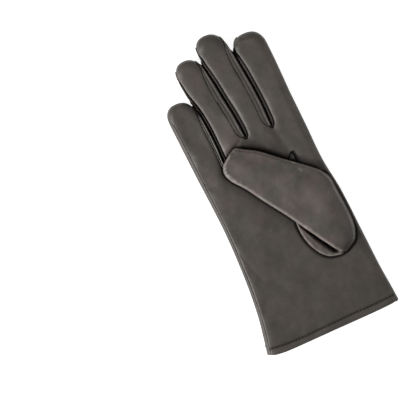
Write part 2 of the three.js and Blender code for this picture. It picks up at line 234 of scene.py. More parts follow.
@dataclass(frozen=True)
class Track:
    """A line in the plane or in space, with values that change along it.

    Args:
        points: the line's points, a row each.
        columns: named values, one for each point.
    """

    points: Array
    columns: dict[str, Array] = field(default_factory=dict)

    @property
    def lengths(self) -> Array:
        """How far along the line each point lies."""
        steps = np.linalg.norm(np.diff(self.points, axis=0), axis=1)
        return np.concatenate([[0.0], np.cumsum(steps)])

    def even(self, step: float) -> "Track":
        """The same line and columns, with points about a step apart."""
        along = self.lengths
        places = np.linspace(0.0, along[-1], max(int(round(along[-1] / step)), 2) + 1)
        return Track(self.at(places), {name: self.value(name, places) for name in self.columns})

    def at(self, places: Array) -> Array:
        """The points that lie those distances along the line."""
        along = self.lengths
        points = [np.interp(places, along, self.points[:, k]) for k in range(self.points.shape[1])]
        return np.stack(points, axis=-1)

    def value(self, name: str, places: Array) -> Array:
        """A column's value those distances along the line."""
        return np.interp(places, self.lengths, self.columns[name])

    def nearest(self, points: Array) -> tuple[Array, Array]:
        """Finds the nearest place on the line.

        Args:
            points: rows to measure from.

        Returns:
            The distance of each row, and how far along the line its nearest place lies.
        """
        chunk = 2000
        line, along = self.points, self.lengths
        squares = np.sum(line**2, axis=1)
        distance, place = np.empty(len(points)), np.empty(len(points))
        for first in range(0, len(points), chunk):
            block = points[first : first + chunk]
            near = np.argmin(squares[None, :] - 2 * block @ line.T, axis=1)
            best = np.full(len(block), np.inf)
            spot = np.zeros(len(block))
            for start in (np.maximum(near - 1, 0), np.minimum(near, len(line) - 2)):
                a, b = line[start], line[start + 1]
                span = b - a
                t = np.sum((block - a) * span, axis=1) / np.maximum(np.sum(span**2, axis=1), 1e-12)
                t = np.clip(t, 0.0, 1.0)
                gap = np.linalg.norm(block - a - t[:, None] * span, axis=1)
                closer = gap < best
                best = np.where(closer, gap, best)
                spot = np.where(closer, lerp(along[start], along[start + 1], t), spot)
            distance[first : first + chunk] = best
            place[first : first + chunk] = spot
        return distance, place


@dataclass(frozen=True)
class Ripples:
    """Soft random waves in leather, the same in every run.

    Args:
        shortest: the shortest wave.
        longest: the longest wave.
        seed: which waves.
        strength: how high they are, about.
        count: how many are added up.
    """

    shortest: float
    longest: float
    seed: int
    strength: float
    count: int = 28

    def height(self, points: Array) -> Array:
        """The height of the waves.

        Args:
            points: rows of places, in the plane or in space.

        Returns:
            A height for each row.
        """
        draw = np.random.default_rng(SEED * 100 + self.seed)
        total = np.zeros(len(points))
        for _ in range(self.count):
            length = math.exp(draw.uniform(math.log(self.shortest), math.log(self.longest)))
            way = draw.normal(size=3)[: points.shape[1]]
            way = way / np.linalg.norm(way)
            total += np.sin(points @ way * (2 * math.pi / length) + draw.uniform(0, 2 * math.pi))
        return total / math.sqrt(self.count / 2) * self.strength


@dataclass(frozen=True)
class Finger:
    """One finger's outline, without the rounding of its tip.

    Args:
        name: which finger.
        tip: where it ends.
        rounding: the length of its rounded tip.
        sides: its left and right side.
        squareness: 2 is a round tip, and more is a squarer one.
    """

    COLUMNS: ClassVar[tuple[str, ...]] = ("y", "left", "right")

    name: str
    tip: float
    rounding: float
    sides: Table
    squareness: float = 2.4

    @property
    def shoulder(self) -> float:
        """Where the tip begins to round."""
        return self.tip - self.rounding

    def tip_arc(self, steps: int) -> Array:
        """The rounded end, from the left shoulder to the right one.

        Args:
            steps: how many steps.

        Returns:
            Rows of x and y.
        """
        angle = np.linspace(0.0, math.pi, steps + 1)
        power = 2 / self.squareness
        y = self.shoulder + self.rounding * np.abs(np.sin(angle)) ** power
        left, right = self.sides.read("left", y), self.sides.read("right", y)
        across = np.sign(np.cos(angle)) * np.abs(np.cos(angle)) ** power
        return np.stack([(left + right) / 2 - (right - left) / 2 * across, y], axis=1)


@dataclass(frozen=True)
class Slit:
    """The gap between two fingers and the strip of leather that lines it.

    Args:
        name: the two fingers.
        base: the fork.
        left_end: how far up the left finger the strip reaches.
        right_end: how far up the right finger.
        left_inset: from the left finger's edge to its seam with the palm.
        right_inset: the same on the right finger.
    """

    name: str
    base: float
    left_end: float
    right_end: float
    left_inset: float
    right_inset: float


@dataclass(frozen=True)
class EdgeStyle:
    """How leather turns over along a stretch of the outline.

    Args:
        roll: the width of the rounded edge, seen from above.
        lip: how deep the seam lies below the leather.
        lip_width: how wide the rounded lip beside the seam is.
        rim: how pale the lip's edge is painted, as a highlight.
        ridge: how far the seam allowance inside raises the leather beside the edge.
        reach: how far in the leather goes on swelling.
    """

    roll: float
    lip: float
    lip_width: float
    rim: float = 0.0
    ridge: float = 0.0
    reach: float = 10.5


class Edge(Enum):
    """The kinds of stretch in the outline."""

    LITTLE_SIDE = EdgeStyle(3.6, 0.46, 1.8, rim=0.03, reach=8.0)
    TIP = EdgeStyle(5.0, 0.25, 0.8, rim=0.1, ridge=0.26, reach=9.0)
    RIGHT_OF_FINGER = EdgeStyle(1.8, 0.55, 2.6, reach=6.5)
    FORK = EdgeStyle(1.6, 0.85, 1.6, rim=0.25, reach=6.5)
    LEFT_OF_FINGER = EdgeStyle(2.2, 1.40, 3.6, rim=0.32)
    INDEX_SIDE = EdgeStyle(2.8, 0.40, 0.9, rim=0.3, ridge=0.34, reach=6.5)


@dataclass(frozen=True)
class Pattern:
    """The glove's cutting pattern: its edges, fingers, slits and seams."""

    edges: Table = Table(
        ("y", "little_side", "index_side"),
        (
            (-6, -59.4, 58.9), (10, -56.5, 57.3), (30, -53.4, 55.1), (60, -51.4, 53.0), (100, -51.3, 50.2),
            (130, -53.2, 45.8), (160, -55.7, 44.5), (190, -57.7, 43.1), (217, -59.6, 42.2),
        ),
    )
    levels: Table = Table(
        ("y", "top"),
        ((-6, 9.5), (10, 9.7), (30, 9.9), (60, 10.2), (130, 10.4), (190, 10.0), (230, 9.6), (262, 9.0)),
    )
    hem: Table = Table(
        ("x", "y"),
        (
            (-58.5, -1.9), (-55.5, -2.8), (-52, -3.8), (-48, -4.3), (-42, -4.7), (-30, -4.55), (0, -3.8),
            (28, -3.2), (46, -2.6), (58.5, -1.6),
        ),
    )
    fingers: tuple[Finger, ...] = (
        Finger("little", 217.4, 14.4, Table(Finger.COLUMNS, (
            (138, -53.9, -29.2), (152, -55.0, -30.2), (175, -56.7, -30.6), (195, -58.0, -32.4),
            (217, -59.5, -35.7),
        ))),
        Finger("ring", 247.3, 15.3, Table(Finger.COLUMNS, (
            (144, -28.6, -5.2), (172, -29.3, -6.0), (190, -30.3, -7.6), (205, -32.7, -10.0),
            (220, -36.9, -12.2), (235, -38.4, -14.9), (250, -38.9, -17.2),
        ))),
        Finger("middle", 259.9, 15.9, Table(Finger.COLUMNS, (
            (158, -4.1, 17.3), (172, -4.6, 17.5), (190, -6.2, 17.2), (205, -8.7, 16.0), (220, -10.9, 14.2),
            (235, -13.7, 12.2), (250, -15.4, 9.8), (262, -16.2, 8.0),
        ))),
        Finger("index", 249.2, 15.2, Table(Finger.COLUMNS, (
            (156, 18.6, 44.6), (175, 18.8, 43.7), (190, 18.4, 42.9), (205, 17.2, 42.5), (220, 15.5, 42.0),
            (235, 13.5, 41.2), (250, 12.8, 40.4),
        ))),
    )
    slits: tuple[Slit, ...] = (
        Slit("little_ring", 152.0, 211.0, 242.0, 3.2, 1.45),
        Slit("ring_middle", 169.5, 244.0, 254.0, 5.6, 2.1),
        Slit("middle_index", 169.5, 255.0, 248.3, 5.6, 2.25),
    )
    little_seam: Table = Table(("y", "inset"), ((-8, 2.9), (60, 1.9), (130, 2.6), (195, 3.0), (216, 2.6)))
    index_seam: Table = Table(("y", "inset"), ((-8, 3.6), (110, 2.8), (225, 2.4), (246, 2.2)))
    back_inset: float = 1.6  # from a slit's edge to its seam with the back
    fork_inset: float = 0.9
    fork_radius: float = 0.75
    strip_point: float = 30.0  # the length over which a strip narrows to its pointed end
    divisions: tuple[float, ...] = (-29.0, -2.5, 23.0)  # where the fingers' rows of leather reach the hem
    knuckles: tuple[float, float] = (146.0, 162.0)  # where the fingers' rows begin, left and right
    finger_join: tuple[float, float] = (150.0, 20.0)  # where the hand's sides turn into the fingers'
    seam_end: float = 16.0  # the length over which a side seam fades out below a fingertip

    def hem_y(self, x: Values) -> Array:
        """The hem's lower edge."""
        return self.hem.read("y", x)

    def above_hem(self, plan: Array) -> Array:
        """How far above the hem's edge each place lies."""
        return plan[:, 1] - self.hem_y(plan[:, 0])

    def seam_insets(self, finger: int, left: bool, y: Array) -> tuple[Array, Array]:
        """Where the seams lie on one side of a finger.

        Args:
            finger: its number, from the little finger.
            left: whether it is the finger's left side.
            y: places along it.

        Returns:
            The palm panel's and the back panel's seam, each as a distance in from the outline. Above
            zero it lies on the upper face, and below zero on the lower one.
        """
        if finger == 0 and left:
            inset = self.little_seam.read("inset", y) * ease((213 - y) / self.seam_end)
            return inset, inset
        if finger == len(self.fingers) - 1 and not left:
            inset = -self.index_seam.read("inset", y) * ease((244 - y) / self.seam_end)
            return inset, inset
        slit = self.slits[finger - 1] if left else self.slits[finger]
        wide, end, spread = (
            (slit.right_inset, slit.right_end, 7.0) if left else (slit.left_inset, slit.left_end, 9.0)
        )
        taper = ease((end - y) / self.strip_point) ** 0.5
        grown = ease((y - slit.base) / spread + 0.02) ** 0.5
        palm = lerp(self.fork_inset, wide, grown) * taper
        back = -lerp(self.fork_inset, self.back_inset, grown) * taper
        return palm, back


PATTERN = Pattern()


class Outline:
    """The glove's edge seen from above, from the hem's little-finger corner to its index corner."""

    STEP = 0.4
    LONG_SIDES = ("LITTLE_SIDE", "INDEX_SIDE")
    TIP_STEPS = 72
    FORK_STEPS = 8
    FORK_ANGLES = ((0.12, 1.45), (1.5708, 3.02))  # of its left and its right half
    # each column of the edge's style, and how many steps its jumps are blended over
    SOFTENING = {"roll": 12, "lip": 6, "lip_width": 6, "rim": 10, "ridge": 16, "reach": 16}

    def __init__(self, pattern: Pattern) -> None:
        """Draws the outline with its seams.

        Args:
            pattern: the cutting pattern.
        """
        self.pattern = pattern
        self.marks: dict[str, float] = {}
        self._points: list[Array] = []
        self._values: list[Array] = []
        self._draw()
        raw = Track(np.concatenate(self._points))
        names = ("palm", "back", *self.SOFTENING)
        columns = dict(zip(names, np.concatenate(self._values).T))
        even = Track(raw.points, columns).even(self.STEP)
        for name, reach in self.SOFTENING.items():
            even.columns[name] = self._soften(even.columns[name], reach)
        tangent = unit(np.gradient(even.points, axis=0))
        even.columns["in_x"], even.columns["in_y"] = tangent[:, 1], -tangent[:, 0]
        self.track = even
        along = raw.lengths
        scale = even.lengths[-1] / along[-1]
        self.marks = {name: float(along[int(i)]) * scale for name, i in self.marks.items()}

    @staticmethod
    def _soften(values: Array, reach: int) -> Array:
        """Blends a column's jumps over a few steps."""
        kernel = np.hanning(2 * reach + 3)[1:-1]
        return np.convolve(np.pad(values, reach, mode="edge"), kernel / kernel.sum(), mode="valid")

    def _mark(self, name: str) -> None:
        """Remembers where the next stretch begins."""
        self.marks[name] = sum(len(p) for p in self._points)

    def _add(self, points: Array, seams: tuple[Values, ...], edge: Edge) -> None:
        """Adds a stretch.

        Args:
            points: rows of x and y.
            seams: the palm's and the back's seam.
            edge: how the leather turns over there.
        """
        insets = [np.broadcast_to(seam, len(points)) for seam in seams]
        styles = [np.full(len(points), getattr(edge.value, name)) for name in self.SOFTENING]
        self._points.append(points)
        self._values.append(np.stack([*insets, *styles], axis=1))

    def _side(self, finger: int, left: bool, first: float, last: float, edge: Edge) -> None:
        """Adds one side of a finger, and of the hand below it where it is one of the glove's long sides.

        Args:
            finger: its number.
            left: whether it is the left side.
            first: where the stretch begins.
            last: where it ends.
            edge: how the leather turns over there.
        """
        y = np.linspace(first, last, max(int(abs(last - first) / self.STEP), 2))
        x = self.pattern.fingers[finger].sides.read("left" if left else "right", y)
        if edge.name in self.LONG_SIDES:
            join, length = self.pattern.finger_join
            x = lerp(self.pattern.edges.read(edge.name.lower(), y), x, ease((y - join) / length))
        self._add(np.stack([x, y], axis=1), self.pattern.seam_insets(finger, left, y), edge)

    def _draw(self) -> None:
        """Adds every stretch in order."""
        pattern, fingers = self.pattern, self.pattern.fingers
        last = len(fingers) - 1
        rows = pattern.hem.rows
        left, right = pattern.knuckles
        self._mark("start")
        self._side(0, True, rows[0][1], left, Edge.LITTLE_SIDE)
        self._mark("knuckle_left")
        self._side(0, True, left + self.STEP, fingers[0].shoulder, Edge.LITTLE_SIDE)
        for number, finger in enumerate(fingers):
            self._tip(number, finger)
            if number < last:
                slit = pattern.slits[number]
                low = slit.base + 2 * pattern.fork_radius
                self._side(number, False, finger.shoulder, low, Edge.RIGHT_OF_FINGER)
                self._fork(number, slit, low)
                self._side(number + 1, True, low, fingers[number + 1].shoulder, Edge.LEFT_OF_FINGER)
        self._side(last, False, fingers[last].shoulder, right, Edge.INDEX_SIDE)
        self._mark("knuckle_right")
        self._side(last, False, right - self.STEP, rows[-1][1], Edge.INDEX_SIDE)
        self.marks["end"] = sum(len(p) for p in self._points) - 1

    def _tip(self, number: int, finger: Finger) -> None:
        """Adds the rounded end of a finger in four parts, with a mark at each of its two corners.

        Args:
            number: the finger's number.
            finger: the finger.
        """
        arc = finger.tip_arc(self.TIP_STEPS)
        quarter = self.TIP_STEPS // 4
        for k, corner in enumerate(("", "left", "", "right")):
            if corner:
                self._mark(f"{finger.name}_{corner}_corner")
            piece = arc[max(k * quarter, 1) : (k + 1) * quarter + (k == 3)]
            self._add(piece, self.pattern.seam_insets(number, k < 2, piece[:, 1]), Edge.TIP)

    def _fork(self, number: int, slit: Slit, low: float) -> None:
        """Adds the rounded bottom of a slit.

        Args:
            number: the finger on its left.
            slit: the slit.
            low: where its straight sides end.
        """
        left = float(self.pattern.fingers[number].sides.read("right", low))
        right = float(self.pattern.fingers[number + 1].sides.read("left", low))
        for half, angles in enumerate(self.FORK_ANGLES):
            angle = np.linspace(*angles, self.FORK_STEPS)
            x = (left + right) / 2 - (right - left) / 2 * np.cos(angle)
            y = low - (low - slit.base) * np.sin(angle)
            if half:
                self._mark(f"fork_{number}")
            inset = self.pattern.fork_inset
            self._add(np.stack([x, y], axis=1), (inset, -inset), Edge.FORK)

    def inward(self, places: Array) -> Array:
        """The direction into the glove at those places."""
        return unit(np.stack([self.track.value(name, places) for name in ("in_x", "in_y")], axis=-1))

    def inset(self, places: Array, depth: Array) -> Array:
        """The outline drawn in by a depth at those places."""
        return self.track.at(places) + self.inward(places) * np.asarray(depth)[..., None]


@dataclass
class Form:
    """The soft flat body of the glove: the heights of its upper and lower face.

    Args:
        outline: the glove's edge, which the body fills.
    """

    outline: Outline

    SIDE = 4.8  # the level of its widest line
    BOTTOM = 0.55
    BOTTOM_ROLL = 5.0
    CROWN = 1.25
    REST_ROLL = 6.0
    HALVES = 5.0  # the level between its upper and its lower half
    HEM_LAYER = 10.0  # the inner layer of the hem lies lower than this above its edge
    LAYER_DEPTH = 1.2  # and at least this deep under the outer layer

    def roll(self, face: Face, places: Array) -> Array:
        """The width of the rounded edge of a face along the outline."""
        roll = self.outline.track.value("roll", places)
        return roll if face is Face.PALM else np.minimum(roll, self.BOTTOM_ROLL)

    def level(self, face: Face, y: Array) -> Array:
        """The height of a face beyond its rounded edges."""
        top = PATTERN.levels.read("top", y)
        return top if face is Face.PALM else np.full(np.shape(y), self.BOTTOM)

    def heights(self, face: Face, plan: Array) -> Array:
        """The height of a face above the floor.

        Args:
            face: which face.
            plan: rows of x and y.

        Returns:
            The height at each row.
        """
        depth, place = self.outline.track.nearest(plan)
        rise = rounded(depth / self.roll(face, place))
        crown = self.crown(depth, self.outline.track.value("reach", place)) * (face is Face.PALM)
        return lerp(self.SIDE, self.level(face, plan[:, 1]) + crown, rise)

    def crown(self, depth: Array, reach: Values = EdgeStyle.reach) -> Array:
        """How far the palm side swells, by the distance in from the edge and the edge's reach."""
        return self.CROWN * (1 - (1 - np.clip(depth / reach, 0.0, 1.0)) ** 2)

    def around(self, places: Array, depth: Array) -> Array:
        """Points on the rounded edge.

        Args:
            places: distances along the outline.
            depth: how far in from it, above zero on the upper face and below zero on the lower one.

        Returns:
            Rows of x, y and z.
        """
        plan = self.outline.inset(places, np.abs(depth))
        upper = rounded(depth / self.roll(Face.PALM, places))
        lower = rounded(-depth / self.roll(Face.BACK, places))
        reach = self.outline.track.value("reach", places)
        top = self.level(Face.PALM, plan[..., 1]) + self.crown(np.maximum(depth, 0.0), reach)
        z = np.where(depth >= 0, lerp(self.SIDE, top, upper), lerp(self.SIDE, self.BOTTOM, lower))
        return lifted(plan, z)

    def seam(self, name: str) -> Track:
        """A seam's line in space.

        Args:
            name: palm or back, for the panel's own seam.

        Returns:
            The line, with the style of its lips.
        """
        track = self.outline.track
        places = track.lengths
        points = self.around(places, track.columns[name])
        kept = {n: track.columns[n] for n in ("lip", "lip_width", "rim")}
        kept["lip"] = kept["lip"] * lerp(0.2, 1.0, ease(np.abs(track.columns[name]) / 1.6))
        return Track(points, kept)

    def rest(self, plan: Array) -> Array:
        """The palm's height without its slits, for what lies on it.

        Args:
            plan: rows of x and y.

        Returns:
            The height at each row.
        """
        left = PATTERN.edges.read("little_side", plan[:, 1])
        right = PATTERN.edges.read("index_side", plan[:, 1])
        depth = np.minimum(plan[:, 0] - left, right - plan[:, 0])
        top = self.level(Face.PALM, plan[:, 1]) + self.crown(depth)
        return lerp(self.SIDE, top, rounded(depth / self.REST_ROLL))

    def inner_layer(self, face: Face, places: Array) -> Array:
        """Which corners belong to the turned layer inside the hem of a face.

        Args:
            face: which face.
            places: rows of x, y and z.

        Returns:
            True for each row that does.
        """
        plan, z = places[:, :2], places[:, 2]
        deep = (self.level(face, plan[:, 1]) - z) * face.value > self.LAYER_DEPTH
        own_half = (z - self.HALVES) * face.value > 1.0
        return (PATTERN.above_hem(plan) < self.HEM_LAYER) & deep & own_half


class Bench:
    """The moves at the bench that every piece shares."""

    @staticmethod
    def alone(piece: Object) -> None:
        """Selects one piece and nothing else."""
        bpy.ops.object.select_all(action="DESELECT")
        piece.select_set(True)
        bpy.context.view_layer.objects.active = piece

    @staticmethod
    @contextmanager
    def editing(piece: Object) -> Iterator[None]:
        """Opens a piece in edit mode, with all of it selected, and closes it again."""
        Bench.alone(piece)
        bpy.ops.object.mode_set(mode="EDIT")
        bpy.ops.mesh.select_all(action="SELECT")
        yield
        bpy.ops.object.mode_set(mode="OBJECT")

    @staticmethod
    def grid(name: str, points: Array) -> Object:
        """Lays a grid and moves its corners to their places.

        Args:
            name: the piece's name.
            points: rows and columns of x, y and z in the glove's lines.

        Returns:
            The piece.
        """
        rows, columns = points.shape[:2]
        bpy.ops.object.select_all(action="DESELECT")
        bpy.ops.mesh.primitive_grid_add(x_subdivisions=columns - 1, y_subdivisions=rows - 1, size=1.0)
        piece = bpy.context.object
        piece.name = piece.data.name = name
        Bench.write(piece, points.reshape(-1, 3))
        return piece

    @staticmethod
    def read(piece: Object) -> Array:
        """The places of a piece's corners in the glove's lines."""
        flat = np.empty(len(piece.data.vertices) * 3)
        piece.data.vertices.foreach_get("co", flat)
        return LINES.back(flat.reshape(-1, 3))

    @staticmethod
    def write(piece: Object, points: Array) -> None:
        """Moves a piece's corners to places in the glove's lines."""
        piece.data.vertices.foreach_set("co", LINES.place(points).astype(np.float32).ravel())
        piece.data.update()

    @staticmethod
    def normals(piece: Object) -> Array:
        """The outward direction at each corner."""
        flat = np.empty(len(piece.data.vertices) * 3)
        piece.data.vertex_normals.foreach_get("vector", flat)
        return flat.reshape(-1, 3)

    @staticmethod
    def join(pieces: list[Object], name: str, weld: float = 0.01) -> Object:
        """Joins pieces into one and welds the corners that meet.

        Args:
            pieces: the pieces, the first of which takes the others.
            name: the name of the whole.
            weld: how near corners are when they are one, in millimetres.

        Returns:
            The whole piece.
        """
        Bench.alone(pieces[0])
        for piece in pieces[1:]:
            piece.select_set(True)
        if len(pieces) > 1:
            bpy.ops.object.join()
        whole = bpy.context.object
        whole.name = whole.data.name = name
        if weld > 0:
            with Bench.editing(whole):
                bpy.ops.mesh.remove_doubles(threshold=weld * MILLIMETRE)
                bpy.ops.mesh.dissolve_degenerate(threshold=weld * MILLIMETRE)
                bpy.ops.mesh.select_all(action="SELECT")
                bpy.ops.mesh.normals_make_consistent(inside=False)
        return whole

    @staticmethod
    def look(piece: Object, towards: Array, probe: Array) -> None:
        """Turns a piece's faces the right way out.

        Args:
            piece: the piece.
            towards: the direction that the leather faces at the probe.
            probe: a place on the piece, in the glove's lines.
        """
        near = np.argmin(np.linalg.norm(Bench.read(piece) - probe, axis=1))
        if Bench.normals(piece)[near] @ towards < 0:
            with Bench.editing(piece):
                bpy.ops.mesh.flip_normals()

    @staticmethod
    def push(piece: Object, amount: Array) -> None:
        """Moves each corner out along the leather's own direction, by millimetres."""
        Bench.write(piece, Bench.read(piece) + Bench.normals(piece) * amount[:, None])

    @staticmethod
    def masks(piece: Object, **values: Values) -> None:
        """Stores named values on every corner, for the finish to read.

        Args:
            piece: the piece.
            values: a value for each corner, or one for all, by name.
        """
        for name, value in values.items():
            layer = piece.data.attributes.new(name, "FLOAT", "POINT")
            spread = np.clip(value, 0.0, 1.0) * np.ones(len(piece.data.vertices))
            layer.data.foreach_set("value", spread.astype(np.float32))

    @staticmethod
    def wall(piece: Object, thickness: float) -> None:
        """Gives a sheet of leather its thickness, on its inner side, and applies it.

        Args:
            piece: the piece.
            thickness: in millimetres.
        """
        Bench.alone(piece)
        modifier = piece.modifiers.new("leather wall", "SOLIDIFY")
        modifier.thickness = thickness * MILLIMETRE
        modifier.offset = -1.0
        modifier.use_even_offset = False
        modifier.use_quality_normals = True
        bpy.ops.object.modifier_apply(modifier=modifier.name)

    @staticmethod
    def finish(piece: Object, material: Material, slot: Slot, *nodes: str) -> None:
        """Smooths a piece, dresses it and hands it to the frame.

        Args:
            piece: the piece.
            material: its finish.
            slot: the record's finish that it takes; not used.
            nodes: the solids that it stands for.
        """
        Bench.alone(piece)
        bpy.ops.object.shade_smooth()
        piece.data.materials.clear()
        piece.data.materials.append(material)
        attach(piece, BODY)
        if nodes:
            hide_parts(*nodes)
        LOG.info("%s: %d faces", piece.name, len(piece.data.polygons))


def coons(bottom: Array, top: Array, left: Array, right: Array, u: Array, v: Array) -> Array:
    """Fills a patch between four edges.

    Args:
        bottom: its lower edge, a row for each u.
        top: its upper edge, a row for each u.
        left: its left edge, a row for each v.
        right: its right edge, a row for each v.
        u: the places across.
        v: the places up.

    Returns:
        Rows and columns of places.
    """
    across, up = u[None, :, None], v[:, None, None]
    ruled = lerp(bottom[None], top[None], up) + lerp(left[:, None], right[:, None], across)
    corners = lerp(lerp(bottom[0], bottom[-1], across), lerp(top[0], top[-1], across), up)
    return ruled - corners


def hanging(start: Array, end: Array, start_angle: float, end_angle: float, u: Array) -> Array:
    """A curve that leaves one place and reaches another at given angles.

    Args:
        start: the first place.
        end: the last place.
        start_angle: the direction in which it leaves, in degrees above the way to the right.
        end_angle: the direction in which it arrives.
        u: the places along it.

    Returns:
        A row for each place.
    """
    reach = np.linalg.norm(end - start)
    angles = np.radians([start_angle, end_angle])
    leave, arrive = [reach * np.array([math.cos(angle), math.sin(angle)]) for angle in angles]
    return hermite(start, leave, end, arrive, u[:, None])


@dataclass
class Panel:
    """The palm panel or the back panel, cut in one piece with its side of the fingers.

    Args:
        form: the body that it covers.
        face: which panel.
    """

    form: Form
    face: Face
    columns: int = 30
    palm_rows: int = 185
    back_rows: int = 110
    finger_rows: int = 112
    wrap_columns: int = 10
    fold_radius: float = 0.95
    fold_turn: int = 8  # how many steps the hem's fold is rounded with
    fold_steps: int = 9  # and how many its inner layer has
    fold_depth: float = 7.5
    foot_power: int = 8  # how quickly the rows above the hem leave its line
    knuckle_angles: Places = ((-12, 62), (-28, 66), (-42, 42), (-42, 14))
    probe: tuple[float, float] = (0.0, 40.0)  # a place in the middle of the hand

    def seam_depth(self, places: Array) -> Array:
        """How far in from the outline the panel ends, below zero where it wraps round."""
        name = "palm" if self.face is Face.PALM else "back"
        return self.form.outline.track.value(name, places) * self.face.value

    def border(self, places: Array) -> Array:
        """The panel's border in the plane, on its own face."""
        return self.form.outline.inset(places, np.maximum(self.seam_depth(places), 0.0))

    def raised(self, plan: Array) -> Array:
        """Gives a flat patch the height of the panel's face."""
        z = self.form.heights(self.face, plan.reshape(-1, 2))
        return lifted(plan, z.reshape(plan.shape[:2]))

    def patches(self) -> tuple[list[Array], list[Array], Array, Array]:
        """Lays out the panel in rows and columns.

        Returns:
            The hand's patches, the fingers' patches, and the places along the outline of the rows
            beside the wrapped side, for the hand and for its outer finger.
        """
        marks = self.form.outline.marks
        fingers = PATTERN.fingers
        u = crowded(self.columns, 1.6)
        hand_v = crowded(self.palm_rows if self.face is Face.PALM else self.back_rows, 1.25)
        finger_v = crowded(self.finger_rows, 1.3)
        forks = [marks[f"fork_{k}"] for k in range(3)]
        ups = [marks["knuckle_left"], *forks, marks["knuckle_right"]]
        crossings = [self.border(np.array([s]))[0] for s in ups]
        start, end = marks["start"] + self.fold_radius, marks["end"] - self.fold_radius
        left_hand = self.border(lerp(start, marks["knuckle_left"], hand_v))
        right_hand = self.border(lerp(end, marks["knuckle_right"], hand_v))
        feet = [left_hand[0], *[np.array([x, 0.0]) for x in PATTERN.divisions], right_hand[0]]
        hand, digits = [], []
        for k, finger in enumerate(fingers):
            knuckle = hanging(crossings[k], crossings[k + 1], *self.knuckle_angles[k], u)
            hem_x = lerp(feet[k][0], feet[k + 1][0], u)
            hem = np.stack([hem_x, PATTERN.hem_y(hem_x) + self.fold_radius], axis=1)
            left = left_hand if k == 0 else self._division(feet[k], crossings[k], hand_v)
            right = right_hand if k == 3 else self._division(feet[k + 1], crossings[k + 1], hand_v)
            foot = (1 - hand_v[:, None]) ** self.foot_power
            left, right = left + (hem[0] - left[0]) * foot, right + (hem[-1] - right[0]) * foot
            hand.append(coons(hem, knuckle, left, right, u, hand_v))
            corners = [marks[f"{finger.name}_{side}_corner"] for side in ("left", "right")]
            tip = self.border(lerp(corners[0], corners[1], u))
            left = self.border(lerp(ups[k], corners[0], finger_v))
            right = self.border(lerp(ups[k + 1], corners[1], finger_v))
            digits.append(coons(knuckle, tip, left, right, u, finger_v))
        hem_end, knuckle, corner = (
            (end, marks["knuckle_right"], marks["index_right_corner"]) if self.face is Face.PALM
            else (start, marks["knuckle_left"], marks["little_left_corner"])
        )
        return hand, digits, lerp(hem_end, knuckle, hand_v), lerp(knuckle, corner, finger_v)

    def _division(self, foot: Array, crossing: Array, v: Array) -> Array:
        """A line between two fingers' rows, from the hem up to their fork."""
        start = np.array([foot[0], PATTERN.hem_y(foot[0]) + self.fold_radius])
        return lerp(start, crossing, v[:, None])

    def wrap(self, places: Array, rows: Array) -> Array:
        """The leather that turns round the glove's side to the other face.

        Args:
            places: where each row meets the outline.
            rows: the patch beside it, whose outer corners the strip shares.

        Returns:
            Rows and columns of places, from the outline to the seam.
        """
        other = Face(-self.face.value)
        depth = np.maximum(-self.seam_depth(places), 0.0)
        roll = self.form.roll(other, places)
        last = np.arccos(1 - depth / roll)
        angle = last[:, None] * np.linspace(0.0, 1.0, self.wrap_columns + 1)[None]
        inset = roll[:, None] * (1 - np.cos(angle))
        spread = np.repeat(places[:, None], self.wrap_columns + 1, axis=1)
        points = self.form.around(spread, -inset * self.face.value)
        return points + (rows - points[:, 0])[:, None]

    def fold(self, line: Array) -> Array:
        """The turned hem: the leather rolls over the edge and runs back inside.

        Args:
            line: the panel's lowest row, from the little-finger side to the index side.

        Returns:
            Rows and columns of places.
        """
        way = unit(np.gradient(line[:, [0, 2]], axis=0)) * self.face.value
        inward = np.stack([way[:, 1], np.zeros(len(way)), -way[:, 0]], axis=1)
        down = np.array([0.0, -1.0, 0.0])
        radius = self.fold_radius
        rows = [line]
        for angle in np.linspace(0.0, math.pi, self.fold_turn + 1)[1:]:
            rows.append(line + radius * (math.sin(angle) * down + (1 - math.cos(angle)) * inward))
        for reach in np.linspace(0.0, self.fold_depth, self.fold_steps + 1)[1:]:
            rows.append(line + 2 * radius * inward - reach * down)
        return np.stack(rows)

    def cut(self, name: str) -> Object:
        """Makes the panel as one welded sheet.

        Args:
            name: its name.

        Returns:
            The sheet, facing out.
        """
        hand, digits, hand_s, finger_s = self.patches()
        hand, digits = [self.raised(p) for p in hand], [self.raised(p) for p in digits]
        outer, edge = (3, -1) if self.face is Face.PALM else (0, 0)
        hand_wrap = self.wrap(hand_s, hand[outer][:, edge])
        finger_wrap = self.wrap(finger_s, digits[outer][:, edge])
        line = np.concatenate([hand[0][0], *[p[0][1:] for p in hand[1:]]])
        turned = hand_wrap[0]
        line = np.concatenate([line, turned[1:]] if self.face is Face.PALM else [turned[:0:-1], line])
        parts = [*hand, *digits, hand_wrap, finger_wrap, self.fold(line)]
        sheet = Bench.join([Bench.grid(f"{name}_{i}", p) for i, p in enumerate(parts)], name, weld=0.02)
        Bench.look(sheet, UP * self.face.value, self.raised(np.array([[self.probe]]))[0, 0])
        return sheet


@dataclass(frozen=True)
class Hump:
    """A soft swelling, hollow or shade along a line.

    Args:
        width: how far it spreads to each side of its middle.
        height: how high it stands, or how deep or dark it is.
        middle: how far from the line its middle lies.
        power: how square its shoulders are.
    """

    width: float
    height: float = 1.0
    middle: float = 0.0
    power: float = 2

    def at(self, distance: Array) -> Array:
        """Its height at those distances from the line."""
        return self.height * bell(distance - self.middle, self.width, self.power)


